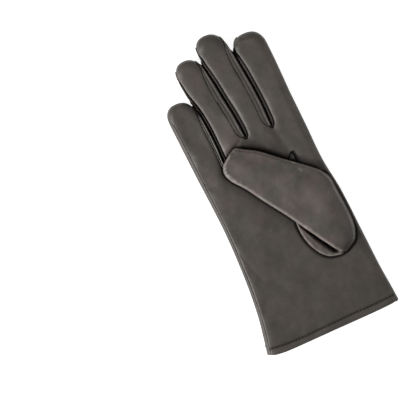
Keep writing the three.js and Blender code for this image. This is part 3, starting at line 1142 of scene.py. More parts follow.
@dataclass
class SeamWork:
    """What sewing does to a sheet: lips that turn into the seam, small puckers beside it, and painted shade
    and highlight.

    Args:
        seam: the seam's line in space, with the style of its lips.
        seed: which puckers.
    """

    seam: Track
    seed: int
    pucker: float = 0.05
    pucker_zone: Hump = Hump(3.2)
    highlight_zone: Hump = Hump(0.42, middle=0.62)  # as shares of the lip's width
    seam_shade_zone: Hump = Hump(0.9)
    darkest_lip: float = 1.6

    def apply(self, sheet: Object) -> tuple[Array, Array, Array]:
        """Works out the seam's effect on a sheet.

        Args:
            sheet: the sheet.

        Returns:
            How far each corner moves out, how dark it is painted at the seam, partly painted shade, and its
            painted highlight.
        """
        distance, place = self.seam.nearest(Bench.read(sheet))
        lip = self.seam.value("lip", place)
        width = self.seam.value("lip_width", place)
        along = np.stack([place, np.zeros(len(place))], axis=1)
        waves = Ripples(2.6, 7.0, self.seed, self.pucker, count=12).height(along)
        fade = self.pucker_zone.at(distance) * ease(distance / 0.8)
        # a painted highlight on the lip beside the seam, then the seam line's own darkness with painted shade
        # in it
        rim = self.seam.value("rim", place) * self.highlight_zone.at(distance / width)
        dark = self.seam_shade_zone.at(distance) * np.clip(lip / self.darkest_lip, 0.0, 0.9)
        return -lip * (1 - rounded(distance / width)) + waves * fade, dark, rim


@dataclass(frozen=True)
class Fold:
    """A soft fold, or a hollow where its height is below zero.

    Args:
        start: where it begins.
        end: where it ends.
        width: how far it spreads to each side.
        height: how far it stands out.
    """

    start: tuple[float, float]
    end: tuple[float, float]
    width: float
    height: float

    def rise(self, plan: Array) -> Array:
        """How far the fold lifts each place."""
        a, span = np.array(self.start), np.array(self.end) - np.array(self.start)
        t = np.clip((plan - a) @ span / max(span @ span, 1e-9), 0.0, 1.0)
        gap = np.linalg.norm(plan - a - t[:, None] * span, axis=1)
        return self.height * bell(gap, self.width)


def fold_table(*rows: tuple[float, ...]) -> tuple[Fold, ...]:
    """Reads folds from rows with the columns start x, start y, end x, end y, width and height."""
    return tuple(Fold(row[0:2], row[2:4], row[4], row[5]) for row in rows)


def relief(folds: tuple[Fold, ...], plan: Array) -> Array:
    """How far all the folds together lift each place."""
    return sum(fold.rise(plan) for fold in folds)


def smooth_line(rows: Places, step: float = LINE_STEP) -> Track:
    """A smooth line through a few places, with points about a step apart."""
    table = Table(("k", "x", "y"), tuple((float(k), *row) for k, row in enumerate(rows)))
    at = np.linspace(0, len(rows) - 1, 30 * (len(rows) - 1) + 1)
    return Track(np.stack([table.read("x", at), table.read("y", at)], axis=1)).even(step)


@dataclass(frozen=True)
class Crescent:
    """The edge of thumb leather that shows below the thumb, from its upper end to the thumb's foot."""

    stations: Table = Table(
        ("station", "out_x", "out_y", "in_x", "in_y"),
        (
            (0, 4.8, 89.0, 7.4, 90.5), (1, 5.0, 82.0, 13.5, 81.0), (2, 6.2, 74.0, 18.5, 73.5),
            (3, 9.0, 66.0, 22.5, 67.0), (4, 13.5, 58.6, 26.0, 61.5), (5, 19.8, 53.2, 28.5, 57.2),
            (6, 27.8, 51.1, 31.0, 55.4), (6.5, 32.6, 51.2, 33.8, 54.9), (7, 36.9, 52.7, 37.6, 55.9),
        ),
    )
    last: int = 7  # its last station
    rows: int = 95
    columns: int = 26
    sink: float = 0.25  # how far its seam lies below the palm
    rise: float = 1.9
    edge: float = 1.5
    plunge_start: float = 0.40
    plunge: float = 5.2


@dataclass(frozen=True)
class ThumbShape:
    """The thumb from its foot to its tip: the edge laid on the palm and the edge towards the index."""

    stations: Table = Table(
        ("station", "low_x", "low_y", "high_x", "high_y", "thick"),
        (
            (0.0, 30.9, 51.5, 34.6, 51.6, 5.4), (0.4, 29.0, 52.6, 38.3, 53.6, 5.6),
            (1, 28.6, 54.6, 43.8, 57.3, 6.0), (2, 26.4, 57.4, 47.2, 64.0, 6.4),
            (3, 23.0, 62.3, 48.8, 73.0, 6.7), (4, 17.4, 70.9, 48.3, 87.0, 6.8),
            (5, 9.4, 83.3, 46.8, 101.0, 6.8), (6, 2.4, 94.5, 45.2, 113.7, 6.7),
            (7, -5.1, 105.5, 38.4, 123.1, 6.6), (8, -13.6, 117.7, 26.4, 133.3, 6.5),
            (9, -22.1, 130.7, 12.7, 144.4, 6.4), (10, -29.0, 139.0, -0.3, 155.2, 6.3),
            (11, -32.6, 145.5, -10.2, 161.0, 6.1), (12, -33.4, 150.2, -16.7, 164.8, 5.9),
            (13, -31.8, 154.6, -20.6, 163.6, 5.7), (14, -30.0, 156.8, -23.2, 162.2, 5.6),
        ),
    )
    last: int = 14  # its last station
    free_edge: float = 2.5  # the free edge's height above the palm
    sewn_edge: float = 0.25
    underside: float = 0.35
    foot_roll: float = 4.0
    low_roll: float = 2.8
    tip_roll: float = 2.6
    high_roll: float = 3.4
    lobe_roll: float = 5.6
    crown: float = 0.5
    lean: float = 1.3  # how much lower the thumb is towards its sewn edge
    seam_inset: float = 1.6
    hole: tuple[float, float] = (28.0, 79.0)
    hole_size: tuple[float, float] = (16.0, 22.5)

    def in_hole(self, plan: Array) -> Array:
        """How near each place is to the thumb hole's middle, 1 at its edge."""
        return np.hypot(*((plan - np.array(self.hole)) / np.array(self.hole_size)).T)


THUMB = ThumbShape()
CRESCENT = Crescent()


def thumb_outline() -> Track:
    """The thumb's edge seen from above, up its low side, round its tip and down its high side.

    Returns:
        The edge, with its level above the palm, its roll, its seam, its painted highlight and the painted
        shade beside it.
    """
    up = np.linspace(0, THUMB.last, 260)
    down = up[::-1]
    low, high = THUMB.stations.line("low", up), THUMB.stations.line("high", down)
    tip = lerp(low[-1], high[0], np.linspace(0, 1, 14)[1:-1, None])
    foot = lerp(high[-1], low[0], np.linspace(0, 1, 8)[1:, None])
    sewn, free = THUMB.sewn_edge, THUMB.free_edge
    lifting, settling = ease((up - 0.3) / 1.9), ease((down - 6.1) / 1.6)
    low_roll = lerp(THUMB.foot_roll, THUMB.low_roll, ease(up / 2))
    high_roll = lerp(THUMB.lobe_roll, THUMB.high_roll, ease((down - 5.6) / 2.4))
    shaded = 0.3 + 0.7 * ease((down - 7.4) / 2) * ease((12.6 - down) / 1.8)
    stretches = {  # each along the low side, the tip, the high side and the foot
        "level": (lerp(sewn, free, lifting), free, lerp(sewn, free, settling), sewn),
        "roll": (low_roll, THUMB.tip_roll, high_roll, THUMB.foot_roll),
        "seam": (0.0, 0.0, ease((down - 6.8) / 0.8), 0.0),
        # the edge's painted highlight, and the painted shade that falls on the palm beside it
        "rim": (ease((up - 0.2) / 0.7), 1.0, lerp(0.18, 0.35, ease((down - 5) / 2)), 0.0),
        "shade": (0.45, 0.38, shaded, 0.0),
    }
    parts = (low, tip, high, foot)
    columns = {
        name: np.concatenate([np.broadcast_to(value, len(part)) for value, part in zip(values, parts)])
        for name, values in stretches.items()
    }
    return Track(np.concatenate(parts), columns).even(Outline.STEP)


def thumb_seam() -> Track:
    """The seam that sets the thumb into the palm: round the crescent, the foot and the lobe."""
    outer = CRESCENT.stations.line("out", np.linspace(0, CRESCENT.last, 80))
    lobe = THUMB.stations.line("high", np.linspace(0.3, 6.6, 90))
    return Track(np.concatenate([outer, lobe])).even(LINE_STEP)


def open_hole(piece: Object, above: float) -> None:
    """Cuts the thumb hole through a sheet.

    Args:
        piece: the sheet.
        above: only leather above this level is cut.
    """
    places = Bench.read(piece)
    inside = (THUMB.in_hole(places[:, :2]) < 1.0) & (places[:, 2] > above)
    with Bench.editing(piece):
        bpy.ops.mesh.select_all(action="DESELECT")
    for polygon in piece.data.polygons:
        polygon.select = all(inside[v] for v in polygon.vertices)
    bpy.ops.object.mode_set(mode="EDIT")
    bpy.ops.mesh.select_mode(type="FACE")
    bpy.ops.mesh.delete(type="FACE")
    bpy.ops.mesh.select_mode(type="VERT")
    bpy.ops.object.mode_set(mode="OBJECT")


@dataclass
class Sheet:
    """A piece of leather on the glove's body.

    Args:
        form: the body that it covers.
        leather: its finish.
        thickness: how thick it is.
    """

    form: Form
    leather: Material
    thickness: float = 1.0

    def finished(self, piece: Object, slot: Slot, *nodes: str) -> Object:
        """Gives a shaped piece its wall, its finish and the solids that it stands for."""
        Bench.wall(piece, self.thickness)
        Bench.finish(piece, self.leather, slot, *nodes)
        return piece


@dataclass
class PalmLeather(Sheet):
    """The palm panel, with its turned hem, thumb hole, grooves and soft folds.

    Its toning, 0.5 in the middle, is darker at the hem and paler up the fingers; its spots are painted light
    and shade.
    """

    hem_stitching: Places = (
        (-56.5, 2.7), (-45, 1.6), (-35, 1.1), (-20, 1.3), (0, 2.0), (20, 2.8), (40, 3.1), (56.0, 4.0),
    )
    folds: tuple[Fold, ...] = fold_table(
        (18.4, 166, 23.5, 144, 3.2, -0.55), (26, 158, 30, 140, 5.0, 0.30), (-3.5, 167, 6, 156, 3.0, -0.45),
        (-14, 163, -8, 168, 3.2, 0.30), (-30, 150, -37, 128, 4.0, -0.35), (-47, 205, -40, 190, 6.0, -0.35),
        (-46, 168, -36, 160, 6.5, 0.35), (-40, 140, -28, 100, 9.0, 0.35), (-20, 96, 2, 84, 9.0, 0.35),
        (-46, 60, -10, 40, 9.0, -0.30), (0, 30, 40, 22, 8.0, 0.25), (-52, 146, -46, 142, 3.5, -0.45),
        (19, 247.5, 17.5, 243.5, 1.0, -0.60), (24, 245, 34, 243.5, 1.0, -0.30),
        (25, 242, 32, 240.5, 1.1, 0.22), (-11, 169, -16, 165, 1.8, -0.60), (-16, 165, -23, 162, 2.0, -0.50),
        (-12, 172, -24, 167, 2.2, 0.40), (-20, 171, -13, 178, 4.5, 0.45), (-51, 95, -38, 56, 1.6, -0.22),
        (-50, 58, -38, 58, 1.4, -0.20),
    )
    toning: Table = Table(
        ("y", "tone"),
        ((-6, 0.38), (25, 0.38), (70, 0.45), (120, 0.49), (165, 0.54), (200, 0.57), (235, 0.53), (262, 0.47)),
    )
    # spots of painted shade and painted light, such as the thumb's shadow on the palm and light inside the
    # tack's loop
    painted_light_and_shade: tuple[Fold, ...] = fold_table(
        (-22, 169, -17, 186, 6.0, 0.42), (-50, 205, -42, 208, 7.0, -0.12), (27, 190, 26, 212, 6.0, 0.14),
        (-2, 180, -4, 215, 6.0, 0.05), (-2, 163.5, 15, 154, 5.0, -0.24), (8, 155, 17, 148, 4.0, -0.12),
        (-25, 166, -11, 171, 2.0, 0.12), (-21, 160.5, -9, 166.5, 1.7, -0.16),
        (-7, 167.6, -3.4, 166.4, 1.1, 0.22), (18, 166, 24, 147, 4.0, -0.07), (32, 160, 36, 140, 6.0, 0.10),
        (20.4, 247.8, 17.0, 242.0, 0.8, -0.40), (22.5, 244.9, 34, 243.4, 0.8, -0.20),
        (24, 242.4, 33, 241.0, 0.9, 0.12), (-57, 210, -53, 120, 4.5, -0.28), (-53, 120, -50, 30, 3.5, -0.10),
        (-47.5, 172, -47, 150, 3.0, 0.10), (27.8, 136.7, 42.6, 124.6, 2.5, -0.85),
        (22.8, 140.6, 23.5, 141.6, 1.3, 0.85), (25.6, 144.4, 29.0, 140.0, 1.6, 0.16),
        (-44, 148, -50, 140, 6.0, 0.10), (-52, 188, -50, 200, 5.0, -0.08),
        (-56.8, 0.8, -55.0, -2.0, 2.0, 0.50), (-54.5, 7.0, -54.0, -2.5, 2.6, 0.30),
        (54.3, 6.5, 55.0, 1.0, 2.4, 0.30), (-48.5, 45.0, -51.0, 25.0, 2.5, 0.10),
    )
    waves: Ripples = Ripples(16, 46, 2, 0.24)
    small_waves: Ripples = Ripples(5, 12, 3, 0.045)
    allowance: Hump = Hump(0.7, middle=1.9)  # the seam allowance inside raises the leather beside the edge
    allowance_foot: Hump = Hump(1.3, 0.7, middle=4.0)
    hem_band: Hump = Hump(1.8, 0.22, middle=2.2)
    hem_turn: Hump = Hump(1.2)  # where the hem turns over, the leather has no waves
    hem_dip: Hump = Hump(0.8, 0.6)
    thumb_dip: Hump = Hump(1.0, 1.1)
    thumb_press: Hump = Hump(4.4, 1.5)
    hem_dark: Hump = Hump(0.85)
    # a dark line at the thumb's seam, partly painted shade; painted shade along the thumb's free edge and its
    # painted shadow on the palm
    thumb_seam_dark: Hump = Hump(1.7, power=2.6)
    thumb_edge_shade: Hump = Hump(1.75, 0.97, power=3)
    thumb_shadow: Hump = Hump(5.8, 0.8)
    thumb_gleam: Fold = Fold((22.8, 140.6), (23.5, 141.4), 1.9, 1.0)  # where light gets under the thumb
    hem_pale: Hump = Hump(2.0, 0.07, middle=2.0)
    hem_shade: Hump = Hump(2.5, 0.05, middle=2.5)

    def build(self) -> Object:
        """Makes the palm panel.

        Returns:
            The finished piece.
        """
        sheet = Panel(self.form, Face.PALM).cut("palm_leather")
        work, dark, rim = SeamWork(self.form.seam("palm"), 1).apply(sheet)
        places = Bench.read(sheet)
        near = self._survey(places)
        push = self._relief(places, near, work)
        Bench.push(sheet, np.where(self.form.inner_layer(Face.PALM, places), 0.0, push))
        # dark seams and stitches, and painted shade beside the thumb
        groove = np.maximum(self._grooves(places[:, :2], near), dark)
        # toning along the hand, with spots of painted light and shade
        tone = self.toning.read("tone", places[:, 1]) + relief(self.painted_light_and_shade, places[:, :2])
        tone = tone - self.hem_shade.at(near["hem"]) + self.hem_pale.at(near["rise"])
        Bench.masks(sheet, groove=groove, rim=rim, tone=tone)
        open_hole(sheet, self.form.SIDE + 1)
        return self.finished(sheet, Slot.PALM, "palm_panel")

    def _survey(self, places: Array) -> dict[str, Array]:
        """Measures what lies near each corner of the sheet.

        Args:
            places: the corners.

        Returns:
            By name: whether the corner is on the upper side; its depth inside the outline, and the ridge
            there; its distance to the hem's stitching, its rise above the hem, and its distance to the
            thumb's seam and to the thumb's edge; and how free and how shaded that edge is.
        """
        plan = places[:, :2]
        depth, along = self.form.outline.track.nearest(plan)
        thumb = thumb_outline()
        beside, thumb_place = thumb.nearest(plan)
        free = ease((thumb.value("level", thumb_place) - 0.6) / 1.2)
        return {
            "upper": ease((places[:, 2] - 6.5) / 2.5),
            "depth": depth,
            "ridge": self.form.outline.track.value("ridge", along),
            "hem": smooth_line(self.hem_stitching).nearest(plan)[0],
            "rise": PATTERN.above_hem(plan),
            "set_in": thumb_seam().nearest(plan)[0],
            "beside": beside,
            "free": free,
            "shade": free * thumb.value("shade", thumb_place),
        }

    def _relief(self, places: Array, near: dict[str, Array], work: Array) -> Array:
        """How far each corner moves out.

        Args:
            places: the corners.
            near: what lies near them.
            work: what the seams do to them.

        Returns:
            The move of each, in millimetres.
        """
        upper, depth = near["upper"], near["depth"]
        waves = self.waves.height(places) * ease((depth - 2.5) / 6) + self.small_waves.height(places)
        ridge = near["ridge"] * (self.allowance.at(depth) - self.allowance_foot.at(depth))
        swell = relief(self.folds, places[:, :2]) + self.hem_band.at(near["rise"]) + ridge
        push = work + upper * swell + waves * ease(depth / 6) * (1 - self.hem_turn.at(near["rise"]))
        push -= upper * self.hem_dip.at(near["hem"])
        push -= upper * self.thumb_dip.at(near["set_in"])
        return push - upper * near["shade"] * self.thumb_press.at(near["beside"])

    def _grooves(self, plan: Array, near: dict[str, Array]) -> Array:
        """How dark each corner is painted: at seams and stitches, and with painted shade and shadow by the
        thumb's edge.

        Args:
            plan: the corners' x and y.
            near: what lies near them.

        Returns:
            The darkness of each.
        """
        beat = 0.62 + 0.30 * np.cos(plan[:, 0] * 2 * math.pi / HEM_PITCH)
        stitches = self.hem_dark.at(near["hem"]) * beat
        # painted shade along the thumb's free edge and its painted shadow on the palm, lessened where light
        # gets under it
        under_thumb_shade = near["free"] * self.thumb_edge_shade.at(near["beside"])
        under_thumb_shade += near["shade"] ** 2 * self.thumb_shadow.at(near["beside"])
        under_thumb_shade *= 1 - self.thumb_gleam.rise(plan)
        return np.max([stitches, self.thumb_seam_dark.at(near["set_in"]), under_thumb_shade], axis=0) * near["upper"]


@dataclass
class BackLeather(Sheet):
    """The back panel, which lies on the floor, with its turned hem."""

    hem_stitching: Places = ((-55, 2.4), (-20, 1.2), (20, 1.8), (54, 3.0))
    folds: tuple[Fold, ...] = fold_table(
        (18, 156, -5, 153, 2.6, 0.30), (50, 166, 26, 153, 2.4, 0.30), (46, 186, 38, 178, 2.2, 0.25),
        (-31, 142, -22, 139, 2.2, 0.25), (-20, 168, -14, 160, 5.0, -0.40), (8, 190, 10, 176, 5.0, -0.35),
    )
    waves: Ripples = Ripples(16, 46, 5, 0.16)
    small_waves: Ripples = Ripples(4, 9, 6, 0.04)
    hem_dip: Hump = Hump(0.55, 0.38)
    hem_dark: Hump = Hump(0.8)

    def build(self) -> Object:
        """Makes the back panel.

        Returns:
            The finished piece.
        """
        sheet = Panel(self.form, Face.BACK).cut("back_leather")
        work, dark, rim = SeamWork(self.form.seam("back"), 4).apply(sheet)
        places = Bench.read(sheet)
        plan = places[:, :2]
        lower = ease((3.0 - places[:, 2]) / 2.0)
        hem = smooth_line(self.hem_stitching).nearest(plan)[0]
        depth = self.form.outline.track.nearest(plan)[0]
        waves = self.waves.height(places) * lower + self.small_waves.height(places)
        push = work + lower * relief(self.folds, plan) + waves * ease(depth / 6)
        push -= lower * self.hem_dip.at(hem)
        Bench.push(sheet, np.where(self.form.inner_layer(Face.BACK, places), 0.0, push))
        settled = Bench.read(sheet)
        settled[:, 2] = np.maximum(settled[:, 2], FLOOR_GAP)
        Bench.write(sheet, settled)
        Bench.masks(sheet, groove=np.maximum(self.hem_dark.at(hem) * lower, dark), rim=rim, tone=0.5)
        return self.finished(sheet, Slot.BACK, "back_panel")


@dataclass
class FourchetteLeather(Sheet):
    """The strips that line the slits between the fingers.

    Each section runs from the palm seam over the edge and down to the back seam. A table gives its upper
    part: the share of the way from the edge to the palm seam, and the drop below the leather beside it.
    """

    COLUMNS: ClassVar[tuple[str, ...]] = ("share", "inset", "drop")

    thickness: float = 0.8
    rows: int = 130
    row_power: float = 1.35  # how much the rows crowd towards the fork
    before_slit: Table = Table(COLUMNS, (
        (0.00, 1.00, 0.86), (0.08, 0.99, 0.74), (0.20, 0.82, 0.54), (0.32, 0.62, 0.58), (0.46, 0.43, 0.86),
        (0.58, 0.26, 0.58), (0.68, 0.14, 0.52), (0.77, 0.06, 0.86), (0.87, 0.01, 1.70), (1.00, 0.00, 3.00),
    ))
    after_slit: Table = Table(COLUMNS, (
        (0.00, 1.00, 1.70), (0.16, 0.82, 1.45), (0.34, 0.58, 1.42), (0.52, 0.34, 1.50), (0.70, 0.14, 1.75),
        (0.86, 0.03, 2.45), (1.00, 0.00, 3.60),
    ))
    upper_steps: int = 18
    side_steps: int = 7
    lower_steps: int = 5
    upright: float = 5.6  # the height of the edge's upper half, for which the drops are given
    overlap: float = 0.2
    tuck: float = 0.8  # how far it runs on under the palm leather
    tuck_drop: float = 1.3
    lean_height: float = 3.6  # the two sides of a slit lean together up to this far from its middle level
    closing_gap: float = 3.2  # a slit narrower than this begins to close
    # painted shade down in the slit beside the little fingertip
    slit_shade_spots: tuple[Fold, ...] = fold_table((-33.4, 212, -31.4, 202, 3.2, 0.9), (-37, 219, -36, 216, 1.6, 0.6))
    shine: Fold = Fold((16.4, 222), (13.6, 238), 1.1, 0.45)
    base_tone: float = 0.56

    def build(self) -> list[Object]:
        """Makes the three strips."""
        return [self._strip(number, slit) for number, slit in enumerate(PATTERN.slits)]

    def _reach(self, number: int) -> Reach:
        """Where the strip begins, forks and ends along the outline."""
        outline = self.form.outline
        fork, places = outline.marks[f"fork_{number}"], outline.track.lengths
        bare = outline.track.columns["palm"] < 0.03
        return float(places[(places < fork) & bare].max()), fork, float(places[(places > fork) & bare].min())

    @staticmethod
    def _after(places: Array, fork: float) -> Array:
        """How far each place along the outline is on the right side of the slit, from 0 to 1."""
        return ease((places - fork) / 5 + 0.5)

    def _closing(self, places: Array, reach: Reach) -> tuple[Array, Array]:
        """How far each place leans out so that the two sides of the slit touch.

        Args:
            places: distances along the outline.
            reach: where the strip begins, forks and ends.

        Returns:
            The lean at each place, and how closed the slit is there.
        """
        first, fork, last = reach
        track, gap = self.form.outline.track, self.closing_gap
        points = track.at(places)
        sides = [Track(track.at(np.arange(*ends, 0.4))) for ends in ((first - 8, fork), (fork, last + 8))]
        across = np.where(places < fork, sides[1].nearest(points)[0], sides[0].nearest(points)[0])
        closed = ease((gap - across) / 1.3) * ease(np.minimum(places - first, last - places) / 9)
        lean = np.clip((across + self.overlap) / 2, 0.0, 1.0) * closed
        return np.maximum(lean, 0.9 * ease((gap - np.abs(places - fork)) / 1.6)), closed

    def _section(self, places: Array, reach: Reach) -> Array:
        """Rows of the strip along the outline, each from the palm seam to the back seam.

        Args:
            places: distances along the outline.
            reach: where the strip begins, forks and ends.

        Returns:
            Rows and columns of places.
        """
        form, track = self.form, self.form.outline.track
        palm = np.maximum(track.value("palm", places), 0.0)[:, None]
        back = np.maximum(-track.value("back", places), 0.0)[:, None]
        steps = (self.upper_steps + 1, self.side_steps, self.lower_steps)
        spread = [np.repeat(places[:, None], count, axis=1) for count in steps]
        share = np.linspace(0.0, 1.0, self.upper_steps + 1)
        after = self._after(places, reach[1])[:, None]
        inset, drop = [
            lerp(self.before_slit.read(n, share)[None], self.after_slit.read(n, share)[None], after)
            for n in ("inset", "drop")
        ]
        top = form.around(spread[0], palm * np.ones(len(share)))[..., 2]
        upper = lifted(track.at(spread[0]), top - drop * ((top - form.SIDE) / self.upright))
        tuck = (np.arange(len(share)) == 0) * ease(palm / 1.2)
        upper[..., :2] += form.outline.inward(spread[0]) * (palm * inset + self.tuck * tuck)[..., None]
        upper[..., 2] -= self.tuck_drop * tuck
        fall = np.linspace(0.0, 1.0, self.side_steps + 1)[1:]
        side = lifted(track.at(spread[1]), lerp(upper[:, -1:, 2], form.SIDE, fall[None]))
        roll = form.roll(Face.BACK, places)[:, None]
        angle = np.arccos(1 - back / roll) * np.linspace(0.0, 1.0, self.lower_steps + 1)[None, 1:]
        lower = form.around(spread[2], -roll * (1 - np.cos(angle)))
        whole = np.concatenate([upper, side, lower], axis=1)
        level = np.clip((whole[..., 2] - form.SIDE) / self.lean_height, -1, 1)
        lean = np.cos(level * math.pi / 2) ** 2 * self._closing(places, reach)[0][:, None]
        rows = np.repeat(places[:, None], whole.shape[1], axis=1)
        whole[..., :2] -= form.outline.inward(rows) * lean[..., None]
        return whole

    def _strip(self, number: int, slit: Slit) -> Object:
        """Makes one strip.

        Args:
            number: its number.
            slit: the slit that it lines.

        Returns:
            The finished piece.
        """
        reach = self._reach(number)
        t = np.linspace(0.0, 1.0, self.rows + 1) ** self.row_power
        places = np.concatenate([lerp(reach[1], reach[0], t[::-1]), lerp(reach[1], reach[2], t[1:])])
        points = self._section(places, reach)
        sheet = Bench.join([Bench.grid(f"strip_{number}", points)], f"fourchette_leather_{slit.name}")
        Bench.look(sheet, UP, points[self.rows // 2, self.upper_steps // 2])
        corners = Bench.read(sheet)
        palm, back = [self.form.seam(name).nearest(corners)[0] for name in ("palm", "back")]
        waves = Ripples(6, 18, 20 + number, 0.04).height(corners)
        Bench.push(sheet, waves * ease(np.minimum(palm, back) / 1.5))
        groove = self._groove(corners, palm, reach)
        Bench.masks(sheet, groove=groove, rim=0.0, tone=self.base_tone + self.shine.rise(corners[:, :2]))
        return self.finished(sheet, Slot.FOURCHETTE, f"fourchette_{slit.name}")

    def _groove(self, corners: Array, palm: Array, reach: Reach) -> Array:
        """How dark each corner is painted: a seam line with painted shade, and painted shade along the fold
        and in the slit.

        Args:
            corners: the corners.
            palm: the distance of each to the palm seam.
            reach: where the strip begins, forks and ends.

        Returns:
            The darkness of each.
        """
        track = self.form.outline.track
        depth, along = track.nearest(corners[:, :2])
        width = track.value("palm", along)
        after = self._after(along, reach[1])
        closed = self._closing(along, reach)[1]
        broad = ease(width / 1.3)
        # painted shade down in the slit where it closes, and on the slit's right side, with less of it
        # towards the fingertips
        deep = ease((lerp(8.6, 9.2, after) - corners[:, 2]) / 1.5) * closed
        seam = bell(palm, lerp(0.6, 0.7, after)) * lerp(0.3, 1.0, after) * broad
        # painted shade along the fold across the strip, on the slit's left side
        off_middle = np.abs(depth / np.maximum(width, 1.0) - 0.44)
        valley = bell(off_middle, 0.10) * (1 - after) * 0.22 * broad
        shade_easing = lerp(1.0, 0.4, after * ease((corners[:, 1] - 205) / 20))
        hollow = relief(self.slit_shade_spots, corners[:, :2])
        return np.max([seam * 0.8 * shade_easing, deep, after * 0.45 * closed * shade_easing, valley, hollow], axis=0)


@dataclass
class ThumbLeather(Sheet):
    """The set-in thumb, a soft flat tube laid across the palm, and the crescent at its foot."""

    rows: int = 170
    columns: int = 40
    folds: tuple[Fold, ...] = fold_table(
        (-32.2, 148.5, -28.3, 141.0, 0.9, -0.35), (24, 112, 34, 96, 7.0, 0.45),
        (14, 122, 22, 112, 5.0, -0.35), (-18, 146, -6, 138, 7.0, 0.35), (38, 86, 44, 74, 5.0, -0.30),
        (20, 84, 30, 70, 6.0, 0.35), (-8, 126, 6, 118, 5.0, -0.25),
    )
    # a painted highlight on the thumb's edge below the tack, and small pale specks
    bright_specks: tuple[Fold, ...] = fold_table(
        (22.1, 136.1, 22.8, 135.8, 1.0, 1.3), (25.7, 127.0, 24.6, 129.2, 0.8, 0.6),
        (38.6, 101.5, 38.8, 102.3, 0.6, 0.5),
    )
    # spots of painted shade and painted light on the thumb
    painted_light_and_shade: tuple[Fold, ...] = fold_table(
        (-20, 150, 6, 122, 8.0, 0.07), (-31, 150, -28, 145, 3.5, -0.16), (32, 62, 42, 90, 9.0, -0.17),
        (31, 52.5, 41, 56.5, 4.2, -0.26), (33, 58, 44, 68, 7.5, -0.19), (30, 118, 42, 104, 7.0, -0.06),
        (47.4, 80, 45.2, 106, 1.8, -0.20), (4, 118, 14, 106, 6.0, 0.05), (20, 88, 26, 80, 4.0, 0.06),
        (8, 138, 20, 126, 5.0, -0.05),
    )
    waves: Ripples = Ripples(14, 40, 8, 0.26)
    small_waves: Ripples = Ripples(5, 11, 9, 0.05)
    puckers: Ripples = Ripples(3.0, 8.0, 10, 0.10, count=12)
    pucker_zone: Hump = Hump(3.4)
    seam_zone: Hump = Hump(0.5, middle=THUMB.seam_inset)
    seam_dip: float = 0.34
    # painted shade along the sewn edge, and painted highlights on the thumb's edge and beside the sewn edge
    sewn_dark: Hump = Hump(0.5)
    highlight_zone: Hump = Hump(0.9, middle=0.8)
    sewn_highlight: Hump = Hump(0.8, 0.2, middle=1.9)
    crescent_waves: Ripples = Ripples(3, 9, 12, 0.09)
    # a dark seam line with painted shade in it, and painted highlights on the crescent's edge and at its turn
    crescent_dark: Hump = Hump(0.6)
    crescent_highlight: Hump = Hump(0.7, middle=1.0)
    turn_highlight: Fold = Fold((28.6, 55.0), (28.0, 51.6), 0.9, 0.8)
    crescent_thickness: float = 0.9

    def build(self) -> list[Object]:
        """Makes the thumb and its crescent.

        Returns:
            The finished pieces.
        """
        t, u = crowded(self.rows, 1.35) * THUMB.last, crowded(self.columns, 1.7)
        low, high = [THUMB.stations.line(name, t)[:, None] for name in ("low", "high")]
        plan = lerp(low, high, u[None, :, None])
        flat = plan.reshape(-1, 2)
        edge = thumb_outline()
        distance, place = edge.nearest(flat)
        rise = rounded(distance / edge.value("roll", place))
        thick = np.repeat(THUMB.stations.read("thick", t), len(u)) + THUMB.crown * ease(distance / 14)
        lean = ease((t - 4.5) / 2)[:, None] * ease((u[None] - 0.45) / 0.5)
        thick -= (THUMB.lean * lean).ravel()
        sheets = []
        for name, inner in (("upper", thick), ("lower", THUMB.underside)):
            z = self.form.rest(flat) + lerp(edge.value("level", place), inner, rise)
            sheets.append(Bench.grid(name, lifted(plan, z.reshape(plan.shape[:2]))))
        open_hole(sheets[1], 0.0)
        tube = Bench.join(sheets, "thumb_leather", 0.02)
        Bench.look(tube, UP, np.array([20.0, 105.0, 18.0]))
        self._shape(tube, edge)
        return [self.finished(tube, Slot.THUMB, "thumb"), self._crescent()]

    def _shape(self, tube: Object, edge: Track) -> None:
        """Sews the thumb's seams, adds its soft folds, and sets its painted shade and highlights.

        Args:
            tube: the thumb.
            edge: its edge seen from above.
        """
        places = Bench.read(tube)
        plan = places[:, :2]
        distance, place = edge.nearest(plan)
        upper = ease((places[:, 2] - self.form.rest(plan) - 2.4) / 1.6)
        seam = edge.value("seam", place) * self.seam_zone.at(distance)
        waves = self.waves.height(places) + self.small_waves.height(places)
        along = np.stack([place, np.zeros(len(place))], axis=1)
        pucker = self.puckers.height(along) * self.pucker_zone.at(distance) * ease(distance / 0.8)
        push = waves * ease(distance / 3) + relief(self.folds, plan) + pucker - self.seam_dip * seam
        Bench.push(tube, upper * push)
        sewn = ease((1.2 - edge.value("level", place)) / 0.8)
        rim = self.highlight_zone.at(distance) * edge.value("rim", place) + relief(self.bright_specks, plan)
        # painted shade at the seam and along the sewn edge; painted highlights on the edge, the specks and
        # beside the sewn edge; spots of painted light and shade
        Bench.masks(
            tube,
            groove=np.maximum(seam * upper * 0.3, sewn * self.sewn_dark.at(distance)),
            rim=np.maximum(rim, self.sewn_highlight.at(distance) * sewn),
            tone=0.5 + relief(self.painted_light_and_shade, plan),
        )

